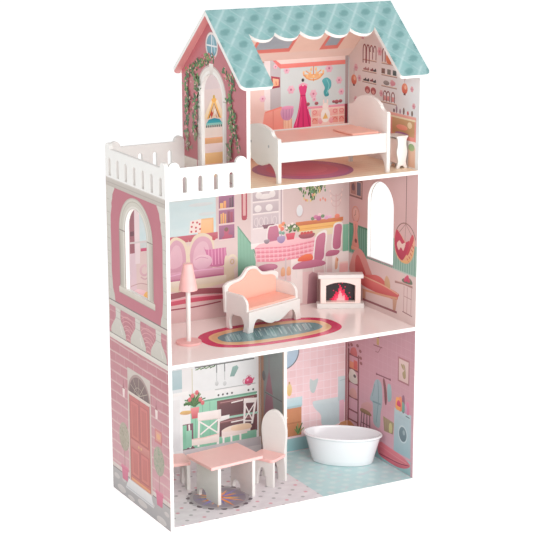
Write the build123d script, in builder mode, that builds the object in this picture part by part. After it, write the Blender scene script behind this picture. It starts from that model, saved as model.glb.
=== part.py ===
from build123d import *

import os
from math import atan2, cos, degrees, sin, tan

# Three-storey wooden dollhouse with its loose furniture.
# Millimetres, +Z up, the open front faces -Y.  The origin is on the ground under the
# middle of the whole house, roof overhangs included.

os.makedirs("parts", exist_ok=True)

# ---- driving dimensions of the house -------------------------------------------------
width = 600.0            # over the two outer side walls
depth = 292.0            # front edge to back edge of the side walls
board = 8.0              # thickness of every wall, floor and roof board
back_board = 5.0         # thickness of the back boards
groove = 2.5             # depth of the grooves that hold the back boards
middle_top = 355.0       # top of the middle floor
attic_top = 699.0        # top of the attic floor, which is also the balcony deck
ridge_top = 1044.0
eave_top = 904.0         # outer top edge of the eaves
eave_overhang = 15.0     # the eaves stand past the front and back edges of the walls
roof_left_overhang = 17.0
roof_right_overhang = 10.0
balcony_width = 181.0    # outer left wall face to outer face of the attic's left wall
partition_at = 362.0     # left face of the ground floor partition, from the left wall
partition_depth = 106.0

left = -(width + roof_right_overhang) / 2
right = left + width
front = -depth / 2
back = depth / 2
inner_left = left + board
inner_right = right - board
attic_left = left + balcony_width
attic_inner = attic_left + board
roof_left = attic_left - roof_left_overhang
roof_right = right + roof_right_overhang
lower_back_face = back - 14.0   # room side of the two lower back boards
attic_back_face = back - 8.0    # room side of the attic's back board

roof_run = back + eave_overhang
roof_slope = atan2(ridge_top - eave_top, roof_run)
roof_drop = board / cos(roof_slope)            # vertical thickness of a roof board
gable_peak = ridge_top - roof_drop
gable_eave = gable_peak - back * tan(roof_slope)

window_width = 106.0
window_sill = 470.0
window_spring = 597.0
door_width = 97.0
door_spring = 864.5
slot_top = 737.0         # top of the slots between balusters
rail_top = 755.0
ear_radius = 12.0        # rounded ears at the ends of the railings
side_slot = 12.0
side_pitch = 41.5
front_slot = 10.0
front_pitch = 34.5

scallops = 5
cut_left = left + 236.0  # the opening in the front roof board
cut_right = left + 536.0
cusp_run = 54.0          # cusps of the scalloped edge, measured from the ridge in plan
lobe_run = 68.0          # lowest points of its lobes
roof_corner = 14.0

dowel_radius = 2.5
dowel_length = 24.0
cam_radius = 6.0
cam_height = 6.4
cam_inset = 18.0         # centre of a cam disc from the wall that it pulls on
bolt_radius = 1.75
bolt_bite = 2.5          # how far a bolt's head reaches into its cam disc
screw_radius = 1.5
head_radius = 3.0
head_height = 1.5


def local(x, y, z, turn=0.0):
    """Place of a piece of furniture: x from the left wall, y from the front edge."""
    return Location((left + x, front + y, z), (0, 0, turn))


def on(place, plane):
    """A plane given in a piece of furniture's own frame, in the house's frame."""
    return Plane(place * plane.location)


standing = (Align.CENTER, Align.CENTER, Align.MIN)


def name_and_write(part, label):
    part.label = label
    export_step(part, f"parts/{label}.step")


def drill(spots, radius, length):
    """Take the space of a pin or bolt out of the part being built."""
    with Locations(*spots):
        Cylinder(radius, length, mode=Mode.SUBTRACT)


def arch_face(x, bottom, spring, opening, mode=Mode.SUBTRACT):
    """Opening with straight sides and a half-round head."""
    with Locations((x, (bottom + spring) / 2)):
        Rectangle(opening, spring - bottom, mode=mode)
    with Locations((x, spring)):
        Circle(opening / 2, mode=mode)


# ---- places of the hidden fittings ------------------------------------------------------
floor_levels = [board, middle_top, attic_top]
wall_dowel_spots = []
cam_bolt_spots = []
cam_disc_spots = []
bolt_length = cam_inset - cam_radius + 5.0 + bolt_bite
for level in floor_levels:
    for face, inward in ((inner_left, 1), (inner_right, -1)):
        for y in (-100.0, 100.0):
            centre = face + inward * (dowel_length / 2 - 5.0)
            wall_dowel_spots.append(Location((centre, y, level - board / 2), (0, 90, 0)))
        for y in (-60.0, 60.0):
            centre = face + inward * (bolt_length / 2 - 5.0)
            cam_bolt_spots.append(Location((centre, y, level - board / 2), (0, 90, 0)))
            disc_z = level - board + cam_height / 2
            cam_disc_spots.append(Location((face + inward * cam_inset, y, disc_z)))

partition_x = left + partition_at + board / 2
partition_y = lower_back_face - partition_depth / 2
upright_dowel = 14.0
upright_dowel_spots = []
for y in (partition_y - 30.0, partition_y + 30.0):
    upright_dowel_spots.append(Location((partition_x, y, board + 2.0)))
    upright_dowel_spots.append(Location((partition_x, y, middle_top - board - 2.0)))
for y in (-110.0, 110.0):
    upright_dowel_spots.append(Location((attic_left + board / 2, y, attic_top + 2.0)))

railing_middle = (inner_left + attic_left) / 2
railing_pins = []
for y in (front + board / 2, back - board / 2):
    for x in (railing_middle - 2 * front_pitch, railing_middle + 2 * front_pitch):
        railing_pins.append(Location((x, y, attic_top - 1.0)))

roof_pins = []
for side in (-1, 1):
    for x in (attic_left + board / 2, right - board / 2):
        for reach in (40.0, 112.0):
            z = gable_peak - reach * tan(roof_slope)
            tilt = -side * degrees(roof_slope)
            roof_pins.append(Location((x, side * reach, z), (tilt, 0, 0)))
roof_pin_length = 10.0
railing_pin_length = 12.0


# ---- floors ------------------------------------------------------------------------------
def floor_board(level, x_from, x_to):
    """One floor, held between two walls."""
    with Locations(((x_from + x_to) / 2, 0, level - board / 2)):
        Box(x_to - x_from, depth, board)


def back_groove(level_top, x_from, x_to, face, upward):
    """Groove along a floor that holds the edge of a back board."""
    z = level_top - groove / 2 if upward else level_top - board + groove / 2
    with Locations(((x_from + x_to) / 2, face + back_board / 2, z)):
        Box(x_to - x_from, back_board, groove, mode=Mode.SUBTRACT)


with BuildPart() as base_panel:
    floor_board(board, inner_left, inner_right)
    back_groove(board, inner_left, inner_right, lower_back_face, True)
    drill(wall_dowel_spots, dowel_radius, dowel_length)
    drill(cam_bolt_spots, bolt_radius, bolt_length)
    drill(cam_disc_spots, cam_radius, cam_height)
    drill(upright_dowel_spots, dowel_radius, upright_dowel)
name_and_write(base_panel.part, "base_panel")

with BuildPart() as middle_floor:
    floor_board(middle_top, inner_left, inner_right)
    back_groove(middle_top, inner_left, inner_right, lower_back_face, True)
    back_groove(middle_top, inner_left, inner_right, lower_back_face, False)
    drill(wall_dowel_spots, dowel_radius, dowel_length)
    drill(cam_bolt_spots, bolt_radius, bolt_length)
    drill(cam_disc_spots, cam_radius, cam_height)
    drill(upright_dowel_spots, dowel_radius, upright_dowel)
name_and_write(middle_floor.part, "middle_floor")

with BuildPart() as attic_floor:
    floor_board(attic_top, inner_left, inner_right)
    back_groove(attic_top, attic_inner - groove, inner_right, attic_back_face, True)
    back_groove(attic_top, inner_left, inner_right, lower_back_face, False)
    drill(wall_dowel_spots, dowel_radius, dowel_length)
    drill(cam_bolt_spots, bolt_radius, bolt_length)
    drill(cam_disc_spots, cam_radius, cam_height)
    drill(upright_dowel_spots, dowel_radius, upright_dowel)
    drill(railing_pins, dowel_radius, railing_pin_length)
name_and_write(attic_floor.part, "attic_floor")

# ---- walls -------------------------------------------------------------------------------
with BuildPart() as left_wall:
    with BuildSketch(Plane.YZ.offset(left)):
        with Locations((0, rail_top / 2)):
            Rectangle(depth, rail_top)
        with Locations((front + ear_radius, rail_top), (back - ear_radius, rail_top)):
            Circle(ear_radius)
        arch_face(-2.0, window_sill, window_spring, window_width)
        for step in range(-3, 4):
            arch_face(step * side_pitch, attic_top, slot_top - side_slot / 2, side_slot)
    extrude(amount=board)
    with Locations((inner_left - groove / 2, lower_back_face + back_board / 2, 0)):
        Box(groove, back_board, attic_top - board + groove, mode=Mode.SUBTRACT,
            align=standing)
    drill(wall_dowel_spots, dowel_radius, dowel_length)
    drill(cam_bolt_spots, bolt_radius, bolt_length)
name_and_write(left_wall.part, "left_wall")


def gable_outline(bottom):
    """Wall outline that ends under the roof boards."""
    with BuildSketch(Plane.XY) as outline:
        with BuildLine():
            Polyline(
                (front, bottom),
                (back, bottom),
                (back, gable_eave),
                (0, gable_peak),
                (front, gable_eave),
                close=True,
            )
        make_face()
    return outline.sketch


right_outline = gable_outline(0)
attic_outline = gable_outline(attic_top)

with BuildPart() as right_wall:
    with BuildSketch(Plane.YZ.offset(inner_right)):
        add(right_outline)
        arch_face(0, window_sill, window_spring, window_width)
    extrude(amount=board)
    with Locations((inner_right + groove / 2, lower_back_face + back_board / 2, 0)):
        Box(groove, back_board, attic_top - board + groove, mode=Mode.SUBTRACT,
            align=standing)
    with Locations((inner_right + groove / 2, attic_back_face + back_board / 2, attic_top - groove)):
        Box(groove, back_board, ridge_top, mode=Mode.SUBTRACT,
            align=standing)
    drill(wall_dowel_spots, dowel_radius, dowel_length)
    drill(cam_bolt_spots, bolt_radius, bolt_length)
    drill(roof_pins, dowel_radius, roof_pin_length)
name_and_write(right_wall.part, "right_wall")

with BuildPart() as attic_left_wall:
    with BuildSketch(Plane.YZ.offset(attic_left)):
        add(attic_outline)
        arch_face(7.5, attic_top, door_spring, door_width)
    extrude(amount=board)
    with Locations((attic_inner - groove / 2, attic_back_face + back_board / 2, attic_top)):
        Box(groove, back_board, ridge_top, mode=Mode.SUBTRACT,
            align=standing)
    drill(upright_dowel_spots, dowel_radius, upright_dowel)
    drill(roof_pins, dowel_radius, roof_pin_length)
name_and_write(attic_left_wall.part, "attic_left_wall")

with BuildPart() as partition_wall:
    with Locations((partition_x, partition_y, middle_top / 2)):
        Box(board, partition_depth, middle_top - 2 * board)
    drill(upright_dowel_spots, dowel_radius, upright_dowel)
name_and_write(partition_wall.part, "partition_wall")

# ---- back boards -------------------------------------------------------------------------
for label, floor_top, ceiling in (
    ("back_panel_ground", board, middle_top - board),
    ("back_panel_middle", middle_top, attic_top - board),
):
    with BuildPart() as lower_back:
        middle = (inner_left + inner_right) / 2
        with Locations((middle, lower_back_face + back_board / 2, (floor_top + ceiling) / 2)):
            Box(inner_right - inner_left + 2 * groove, back_board, ceiling - floor_top + 2 * groove)
    name_and_write(lower_back.part, label)

with BuildPart() as back_panel_attic:
    top_near = gable_peak - (attic_back_face + back_board) * tan(roof_slope)
    attic_span = inner_right - attic_inner + 2 * groove
    middle = (attic_inner + inner_right) / 2
    with Locations((middle, attic_back_face + back_board / 2, attic_top - groove)):
        Box(attic_span, back_board, top_near - attic_top + groove, align=standing)
name_and_write(back_panel_attic.part, "back_panel_attic")


# ---- balcony railings ----------------------------------------------------------------------
def railing(label, y):
    """Short railing across the balcony, between the side wall and the attic wall."""
    with BuildPart() as rail:
        with BuildSketch(Plane.XZ.offset(-y - board)):
            span = attic_left - inner_left
            with Locations((railing_middle, (attic_top + rail_top) / 2)):
                Rectangle(span, rail_top - attic_top)
            with Locations((inner_left + ear_radius, rail_top), (attic_left - ear_radius, rail_top)):
                Circle(ear_radius)
            for step in (-1.5, -0.5, 0.5, 1.5):
                x = railing_middle + step * front_pitch
                arch_face(x, attic_top + 6.0, slot_top - front_slot / 2, front_slot)
        extrude(amount=board)
        drill(railing_pins, dowel_radius, railing_pin_length)
    name_and_write(rail.part, label)


railing("front_railing", front)
railing("back_railing", back - board)


# ---- roof -----------------------------------------------------------------------------------
def roof_profile(side):
    """Section from the mitred ridge to the eave; side is -1 in front and 1 behind."""
    eave_y = side * roof_run
    inner_y = eave_y - side * board * sin(roof_slope)
    inner_z = eave_top - board * cos(roof_slope)
    with BuildSketch(Plane.XY) as profile:
        with BuildLine():
            Polyline(
                (0, ridge_top),
                (eave_y, eave_top),
                (inner_y, inner_z),
                (0, gable_peak),
                close=True,
            )
        make_face()
    return profile.sketch


def eave_corners(x_from, x_to):
    """Edges through the board's thickness at its eave, between two x."""
    across = edges().filter_by(lambda e: abs(e.length - board) < 0.01)
    low = across.filter_by(lambda e: e.center().Z < eave_top + 4)
    return low.filter_by(lambda e: x_from < e.center().X < x_to)


front_profile = roof_profile(-1)
back_profile = roof_profile(1)
slope_plane = Plane(
    origin=(0, 0, ridge_top),
    x_dir=(1, 0, 0),
    z_dir=(0, -sin(roof_slope), cos(roof_slope)),
)

with BuildPart() as front_roof_panel:
    with BuildSketch(Plane.YZ.offset(roof_left)):
        add(front_profile)
    extrude(amount=roof_right - roof_left)
    fillet(eave_corners(roof_left - 1, roof_right + 1), roof_corner)
    with BuildSketch(slope_plane):
        cusp = -cusp_run / cos(roof_slope)
        lobe = -lobe_run / cos(roof_slope)
        eave = -(roof_run + board) / cos(roof_slope)
        pitch = (cut_right - cut_left) / scallops
        with BuildLine():
            for i in range(scallops):
                start = cut_left + i * pitch
                ThreePointArc((start, cusp), (start + pitch / 2, lobe), (start + pitch, cusp))
            Line((cut_right, cusp), (cut_right, eave))
            Line((cut_right, eave), (cut_left, eave))
            Line((cut_left, eave), (cut_left, cusp))
        make_face()
    extrude(amount=-2 * board, both=True, mode=Mode.SUBTRACT)
    fillet(eave_corners(cut_left - 1, cut_right + 1), roof_corner / 2)
    drill(roof_pins, dowel_radius, roof_pin_length)
name_and_write(front_roof_panel.part, "front_roof_panel")

with BuildPart() as back_roof_panel:
    with BuildSketch(Plane.YZ.offset(roof_left)):
        add(back_profile)
    extrude(amount=roof_right - roof_left)
    fillet(eave_corners(roof_left - 1, roof_right + 1), roof_corner)
    drill(roof_pins, dowel_radius, roof_pin_length)
name_and_write(back_roof_panel.part, "back_roof_panel")

# ---- hidden fittings ------------------------------------------------------------------------
with BuildPart() as floor_dowels:
    with Locations(*wall_dowel_spots):
        Cylinder(dowel_radius, dowel_length)
    with Locations(*upright_dowel_spots):
        Cylinder(dowel_radius, upright_dowel)
name_and_write(floor_dowels.part, "floor_dowels")

with BuildPart() as railing_dowels:
    with Locations(*railing_pins):
        Cylinder(dowel_radius, railing_pin_length)
name_and_write(railing_dowels.part, "railing_dowels")

with BuildPart() as roof_dowels:
    with Locations(*roof_pins):
        Cylinder(dowel_radius, roof_pin_length)
name_and_write(roof_dowels.part, "roof_dowels")

with BuildPart() as cam_bolts:
    with Locations(*cam_bolt_spots):
        Cylinder(bolt_radius, bolt_length)
name_and_write(cam_bolts.part, "cam_bolts")

with BuildPart() as cam_discs:
    with Locations(*cam_disc_spots):
        Cylinder(cam_radius, cam_height)
        with Locations((0, 0, -cam_height / 2)):
            Box(7.0, 1.2, 2.0, mode=Mode.SUBTRACT)
            Box(1.2, 7.0, 2.0, mode=Mode.SUBTRACT)
    drill(cam_bolt_spots, bolt_radius, bolt_length)
name_and_write(cam_discs.part, "cam_discs")

# ---- bed ------------------------------------------------------------------------------------
bed = local(394.0, 91.0, attic_top)
bed_length = 269.0
bed_width = 156.0
bed_end = 8.0
bed_rail = 7.0
bed_rail_bottom = 43.0
bed_rail_top = 84.0
mattress_top = 82.0
mattress_bottom = 64.0
bed_leg = 8.0


def bed_end_outline(shoulder, crown):
    """Head or foot of the bed: domed top and a scalloped lower edge between the legs."""
    half = bed_width / 2
    with BuildSketch(Plane.XY) as outline:
        with BuildLine():
            Line((-half, 0), (-half, shoulder - 4))
            for side in (-1, 1):
                knob, ledge, neck = [(side * (half - inset), shoulder + rise)
                                     for inset, rise in ((5, 0), (14, 1), (29, 12))]
                ThreePointArc((side * half, shoulder - 4), (side * (half - 1.5), shoulder - 1), knob)
                Line(knob, ledge)
                ThreePointArc(ledge, (side * (half - 23), shoulder + 4.5), neck)
            ThreePointArc((29 - half, shoulder + 12), (0, crown), (half - 29, shoulder + 12))
            Line((half, shoulder - 4), (half, 0))
            Line((half, 0), (half - bed_leg, 0))
            Spline((half - bed_leg, 0), (half - 13, 22), (half - 38, 37), (half - 58, 31), (0, 28))
            Spline((0, 28), (58 - half, 31), (38 - half, 37), (13 - half, 22), (bed_leg - half, 0))
            Line((bed_leg - half, 0), (-half, 0))
        make_face()
    return outline.sketch


bed_screw_length = 24.0
bed_screw_height = 72.0
bed_screw_spots = []
for end in (-1, 1):
    for y in (-38.0, 38.0):
        head = bed * Location((end * bed_length / 2, y, bed_screw_height), (0, -90 * end, 0))
        bed_screw_spots.append(head)


def screw_shape(mode):
    """Flat-headed screw that points along its spot's own Z axis, from the head inwards."""
    Cylinder(head_radius, head_height, align=standing, mode=mode)
    Cylinder(screw_radius, bed_screw_length, align=standing, mode=mode)


for label, end, shoulder, crown in (
    ("bed_footboard", -1, 92.0, 113.0),
    ("bed_headboard", 1, 128.0, 154.0),
):
    end_outline = bed_end_outline(shoulder, crown)
    with BuildPart() as bed_end_part:
        with BuildSketch(on(bed, Plane.YZ.offset(end * (bed_length - bed_end) / 2))):
            add(end_outline)
        extrude(amount=bed_end / 2, both=True)
        with Locations(*bed_screw_spots):
            screw_shape(Mode.SUBTRACT)
    name_and_write(bed_end_part.part, label)

bed_inside = bed_length - 2 * bed_end
bed_rail_y = bed_width / 2 - 2.0 - bed_rail / 2
for label, side in (("bed_front_rail", -1), ("bed_back_rail", 1)):
    with BuildPart() as bed_rail_part:
        with Locations(bed * Location((0, side * bed_rail_y, (bed_rail_top + bed_rail_bottom) / 2))):
            Box(bed_inside, bed_rail, bed_rail_top - bed_rail_bottom)
    name_and_write(bed_rail_part.part, label)

mattress_width = 2 * bed_rail_y - bed_rail
with BuildPart() as bed_mattress:
    with Locations(bed * Location((0, 0, (mattress_top + mattress_bottom) / 2))):
        Box(bed_inside, mattress_width, mattress_top - mattress_bottom)
    with Locations(*bed_screw_spots):
        screw_shape(Mode.SUBTRACT)
name_and_write(bed_mattress.part, "bed_mattress")

pillow_height = 5.0
with BuildPart() as bed_pillow:
    with BuildSketch(on(bed, Plane.XY.offset(mattress_top))):
        with Locations((83.0, -24.0)):
            RectangleRounded(66.0, 82.0, 4.0)
    extrude(amount=pillow_height)
name_and_write(bed_pillow.part, "bed_pillow")

with BuildPart() as bed_screws:
    with Locations(*bed_screw_spots):
        screw_shape(Mode.ADD)
name_and_write(bed_screws.part, "bed_screws")

# ---- nightstand -----------------------------------------------------------------------------
nightstand = local(576.0, 58.0, attic_top)
stand_width = 26.0       # in x; the drawer front faces the room's left wall
stand_depth = 38.0
stand_height = 66.0
stand_side = 5.0
stand_front = 4.0
stand_inset = 4.0        # drawer front and back sit this far inside the sides
stand_top = 4.0


def wavy_side_outline():
    """Side of the nightstand: waisted edges and two feet."""
    half = stand_width / 2
    with BuildSketch(Plane.XY) as outline:
        with BuildLine():
            Line((-half, 0), (-half, 4))
            Spline((-half, 4), (-half + 3, 16), (-half, 34), (-half + 2.5, 52), (-half, stand_height))
            Line((-half, stand_height), (half, stand_height))
            Spline((half, stand_height), (half - 2.5, 52), (half, 34), (half - 3, 16), (half, 4))
            Line((half, 4), (half, 0))
            Line((half, 0), (half - 7, 0))
            ThreePointArc((half - 7, 0), (0, 6), (-half + 7, 0))
            Line((-half + 7, 0), (-half, 0))
        make_face()
    return outline.sketch


stand_side_outline = wavy_side_outline()
for label, y in (("nightstand_near_side", -1), ("nightstand_far_side", 1)):
    with BuildPart() as stand_side_part:
        with BuildSketch(on(nightstand, Plane.XZ.offset(-y * (stand_depth - stand_side) / 2))):
            add(stand_side_outline)
        extrude(amount=stand_side / 2, both=True)
    name_and_write(stand_side_part.part, label)

stand_inside = stand_depth - 2 * stand_side
with BuildPart() as nightstand_drawer_front:
    with Locations(nightstand * Location((-stand_width / 2 + stand_inset + stand_front / 2, 0, 36.0))):
        Box(stand_front, stand_inside, 52.0)
name_and_write(nightstand_drawer_front.part, "nightstand_drawer_front")

with BuildPart() as nightstand_back:
    with Locations(nightstand * Location((stand_width / 2 - stand_inset - stand_front / 2, 0, 38.0))):
        Box(stand_front, stand_inside, 56.0)
name_and_write(nightstand_back.part, "nightstand_back")

with BuildPart() as nightstand_top:
    with BuildSketch(on(nightstand, Plane.XY.offset(stand_height))):
        RectangleRounded(stand_width + 3.0, stand_depth + 4.0, 2.0)
    extrude(amount=stand_top)
name_and_write(nightstand_top.part, "nightstand_top")

# ---- sofa -----------------------------------------------------------------------------------
sofa = local(319.0, 191.0, middle_top, 18.0)
sofa_length = 162.0
sofa_depth = 76.0
sofa_board = 7.0
sofa_seat_top = 48.0
sofa_pad = 5.0
sofa_back_half = 85.0
sofa_back_rim = 6.0       # white rim that shows above the coral back pad
sofa_back_end = 92.0      # height of the back's low ends
sofa_arm_top = 81.0
sofa_side_bottom = 33.0   # lower edge of the side boards, between the legs
sofa_leg = 13.0
apron_top = 46.0


def sofa_back_top(half, drop):
    """Top edge of the sofa back: low ends and one raised hump in the middle."""
    pull = drop / 2
    Spline(
        (-half, sofa_back_end - drop),
        (-half + 6, 97 - drop),
        (-43 + pull, 102 - drop),
        (-28 + pull, 108 - drop),
        (-14 + pull, 120 - drop),
        (0, 122 - drop),
        (14 - pull, 120 - drop),
        (28 - pull, 108 - drop),
        (43 - pull, 102 - drop),
        (half - 6, 97 - drop),
        (half, sofa_back_end - drop),
    )


with BuildPart() as sofa_back:
    with BuildSketch(on(sofa, Plane.XZ.offset(-sofa_depth / 2))):
        with BuildLine():
            half = sofa_back_half
            sofa_back_top(half, 0)
            Polyline((half, sofa_back_end), (half - 3, 34), (3 - half, 34), (-half, sofa_back_end))
        make_face()
    extrude(amount=sofa_board)
name_and_write(sofa_back.part, "sofa_back")

with BuildPart() as sofa_back_pad:
    with BuildSketch(on(sofa, Plane.XZ.offset(-sofa_depth / 2 + sofa_board))):
        with BuildLine():
            half = sofa_length / 2 - sofa_board - 0.5
            end = sofa_back_end - sofa_back_rim
            sofa_back_top(half, sofa_back_rim)
            Polyline((half, end), (half, sofa_seat_top), (-half, sofa_seat_top), (-half, end))
        make_face()
    extrude(amount=3.0)
name_and_write(sofa_back_pad.part, "sofa_back_pad")


def sofa_arm_outline():
    """Side of the sofa: a back leg, a front leg and a level arm rounded over at the front."""
    rear = sofa_depth / 2 - sofa_board
    nose = -sofa_depth / 2 + sofa_board
    low = sofa_side_bottom
    with BuildSketch(Plane.XY) as outline:
        with BuildLine():
            Polyline((nose, 0), (nose, 60))
            Spline((nose, 60), (nose + 6, 72), (nose + 22, 80), tangents=((0.1, 1), (1, 0.1)))
            Polyline((nose + 22, 80), (rear, sofa_arm_top), (rear, 0), (rear - sofa_leg, 0))
            Spline((rear - sofa_leg, 0), (rear - sofa_leg, low - 6), (rear - sofa_leg - 5, low))
            Line((rear - sofa_leg - 5, low), (nose + sofa_leg + 5, low))
            Spline((nose + sofa_leg + 5, low), (nose + sofa_leg, low - 6), (nose + sofa_leg, 0))
            Line((nose + sofa_leg, 0), (nose, 0))
        make_face()
    return outline.sketch


arm_outline = sofa_arm_outline()
for label, side in (("sofa_left_arm", -1), ("sofa_right_arm", 1)):
    with BuildPart() as sofa_arm:
        with BuildSketch(on(sofa, Plane.YZ.offset(side * (sofa_length - sofa_board) / 2))):
            add(arm_outline)
        extrude(amount=sofa_board / 2, both=True)
    name_and_write(sofa_arm.part, label)


def apron_edge(side):
    """Lower edge of half the apron, from its middle to the outer side of a leg."""
    half = sofa_length / 2
    edge = [(0, 11), (14, 10), (half - 42, 21), (half - 25, 26), (half - 16, 15), (half - sofa_leg, 0)]
    Spline(*[(side * u, v) for u, v in edge])
    Line((side * (half - sofa_leg), 0), (side * (half + 2), 0))
    Spline((side * (half + 2), 0), (side * (half + 2), 6), (side * half, 14))
    Line((side * half, 14), (side * half, apron_top))


with BuildPart() as sofa_apron:
    with BuildSketch(on(sofa, Plane.XZ.offset(sofa_depth / 2 - sofa_board))):
        with BuildLine():
            apron_edge(-1)
            apron_edge(1)
            Line((-sofa_length / 2, apron_top), (sofa_length / 2, apron_top))
        make_face()
    extrude(amount=sofa_board)
name_and_write(sofa_apron.part, "sofa_apron")

sofa_inside = sofa_length - 2 * sofa_board
sofa_between = sofa_depth - 2 * sofa_board
with BuildPart() as sofa_seat:
    with Locations(sofa * Location((0, 0, sofa_seat_top - 5.0))):
        Box(sofa_inside, sofa_between, 10.0)
name_and_write(sofa_seat.part, "sofa_seat")

with BuildPart() as sofa_seat_pad:
    with Locations(sofa * Location((0, -1.5, sofa_seat_top + sofa_pad / 2))):
        Box(sofa_inside - 1.0, sofa_between - 3.0, sofa_pad)
name_and_write(sofa_seat_pad.part, "sofa_seat_pad")

# ---- floor lamp -----------------------------------------------------------------------------
lamp = local(110.0, 130.0, middle_top)
lamp_base_radius = 27.0
lamp_base_height = 5.0
lamp_post_radius = 5.0
lamp_shade_bottom = 115.0
lamp_shade_top = 172.0
lamp_post_top = 166.0

with BuildPart() as lamp_base:
    with BuildSketch(on(lamp, Plane.XY)):
        Circle(lamp_base_radius)
    extrude(amount=lamp_base_height)
    fillet(edges().sort_by(Axis.Z)[-1], 1.5)
    with Locations(lamp * Location((0, 0, lamp_base_height))):
        Cylinder(lamp_post_radius, 4.0, mode=Mode.SUBTRACT)
name_and_write(lamp_base.part, "lamp_base")

with BuildPart() as lamp_post:
    with BuildSketch(on(lamp, Plane.XY.offset(lamp_base_height - 2.0))):
        Circle(lamp_post_radius)
    extrude(amount=lamp_post_top - lamp_base_height + 2.0)
name_and_write(lamp_post.part, "lamp_post")

with BuildPart() as lamp_shade:
    with BuildSketch(on(lamp, Plane.XY.offset(lamp_shade_bottom))):
        Circle(20.0)
    with BuildSketch(on(lamp, Plane.XY.offset(lamp_shade_top))):
        Circle(9.5)
    loft()
    with Locations(lamp * Location((0, 0, lamp_shade_bottom))):
        Cylinder(
            lamp_post_radius,
            lamp_post_top - lamp_shade_bottom,
            align=standing,
            mode=Mode.SUBTRACT,
        )
name_and_write(lamp_shade.part, "lamp_shade")

# ---- fireplace ------------------------------------------------------------------------------
fireplace = local(536.0, 222.0, middle_top, -26.0)
hearth_width = 106.0
hearth_depth = 26.0
hearth_height = 11.0
surround_width = 91.0
surround_depth = 20.0
surround_top = 69.0
mantel_width = 102.0
mantel_height = 9.0
firebox_width = 66.0
firebox_shoulder = 52.0
firebox_crown = 59.5
firebox_bottom = hearth_height + 3.0
fire_panel_depth = 4.0

with BuildPart() as fireplace_base:
    with Locations(fireplace * Location((0, 0, hearth_height / 2))):
        Box(hearth_width, hearth_depth, hearth_height)
name_and_write(fireplace_base.part, "fireplace_base")


def firebox_outline():
    """The arched opening of the fireplace."""
    half = firebox_width / 2
    with BuildSketch(Plane.XY) as outline:
        with BuildLine():
            ThreePointArc((-half, firebox_shoulder), (0, firebox_crown), (half, firebox_shoulder))
            Polyline((half, firebox_shoulder), (half, firebox_bottom), (-half, firebox_bottom))
            Line((-half, firebox_bottom), (-half, firebox_shoulder))
        make_face()
    return outline.sketch


firebox = firebox_outline()
with BuildPart() as fireplace_surround:
    with BuildSketch(on(fireplace, Plane.XZ.offset(-surround_depth / 2))):
        with Locations((0, (hearth_height + surround_top) / 2)):
            Rectangle(surround_width, surround_top - hearth_height)
        add(firebox, mode=Mode.SUBTRACT)
    extrude(amount=surround_depth)
name_and_write(fireplace_surround.part, "fireplace_surround")

with BuildPart() as fireplace_fire:
    with BuildSketch(on(fireplace, Plane.XZ.offset(-surround_depth / 2))):
        add(firebox)
    extrude(amount=fire_panel_depth)
name_and_write(fireplace_fire.part, "fireplace_fire")

with BuildPart() as fireplace_mantel:
    with Locations(fireplace * Location((0, 0, surround_top + mantel_height / 2))):
        Box(mantel_width, hearth_depth, mantel_height)
name_and_write(fireplace_mantel.part, "fireplace_mantel")

# ---- table ----------------------------------------------------------------------------------
table = local(184.0, 115.0, board, 6.3)
table_width = 133.0
table_depth = 101.0
table_height = 90.0
table_thickness = 7.0
table_leg_front = -47.0
table_leg_rear = 37.0
table_foot = 48.0         # length of the leg board's front foot; its rear foot is short
table_leg_at = 44.0

with BuildPart() as table_top:
    with BuildSketch(on(table, Plane.XY.offset(table_height - table_thickness))):
        RectangleRounded(table_width, table_depth, 3.0)
    extrude(amount=table_thickness)
name_and_write(table_top.part, "table_top")

for label, side in (("table_left_leg", -1), ("table_right_leg", 1)):
    with BuildPart() as table_leg:
        with BuildSketch(on(table, Plane.YZ.offset(side * table_leg_at))):
            with BuildLine():
                top = table_height - table_thickness
                heel = table_leg_rear - 10
                toe = table_leg_front + table_foot
                Polyline((heel, 0), (table_leg_rear, 0), (table_leg_rear, top), (table_leg_front, top))
                Polyline((table_leg_front, top), (table_leg_front, 0), (toe, 0))
                ThreePointArc((toe, 0), ((toe + heel) / 2, 20), (heel, 0))
            make_face()
        extrude(amount=board / 2, both=True)
    name_and_write(table_leg.part, label)

# ---- chairs ---------------------------------------------------------------------------------
chair_width = 62.0
chair_board = 8.0
chair_back_face = 20.0    # front face of the back board, from the chair's middle
chair_leg_face = -28.0    # front face of the leg board
chair_seat_bottom = 57.0
chair_seat_top = 64.0
chair_arch = 24.0
chair_arch_height = 42.0


def chair_feet_cut():
    """Arch between the two feet of a chair board."""
    Ellipse(chair_arch / 2, chair_arch_height, mode=Mode.SUBTRACT)


def balloon_outline():
    """Chair back: two feet, a slight waist and a round balloon top."""
    foot = chair_width / 2
    with BuildSketch(Plane.XY) as outline:
        with BuildLine():
            Line((-foot, 0), (-foot + 2, 40))
            Spline(
                (-foot + 2, 40),
                (-foot + 2.5, 70),
                (-foot - 1, 112),
                (-foot + 9, 146),
                (0, 160),
                (foot - 9, 146),
                (foot + 1, 112),
                (foot - 2.5, 70),
                (foot - 2, 40),
            )
            Line((foot - 2, 40), (foot, 0))
            Line((foot, 0), (-foot, 0))
        make_face()
        chair_feet_cut()
    return outline.sketch


chair_back_outline = balloon_outline()


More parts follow.
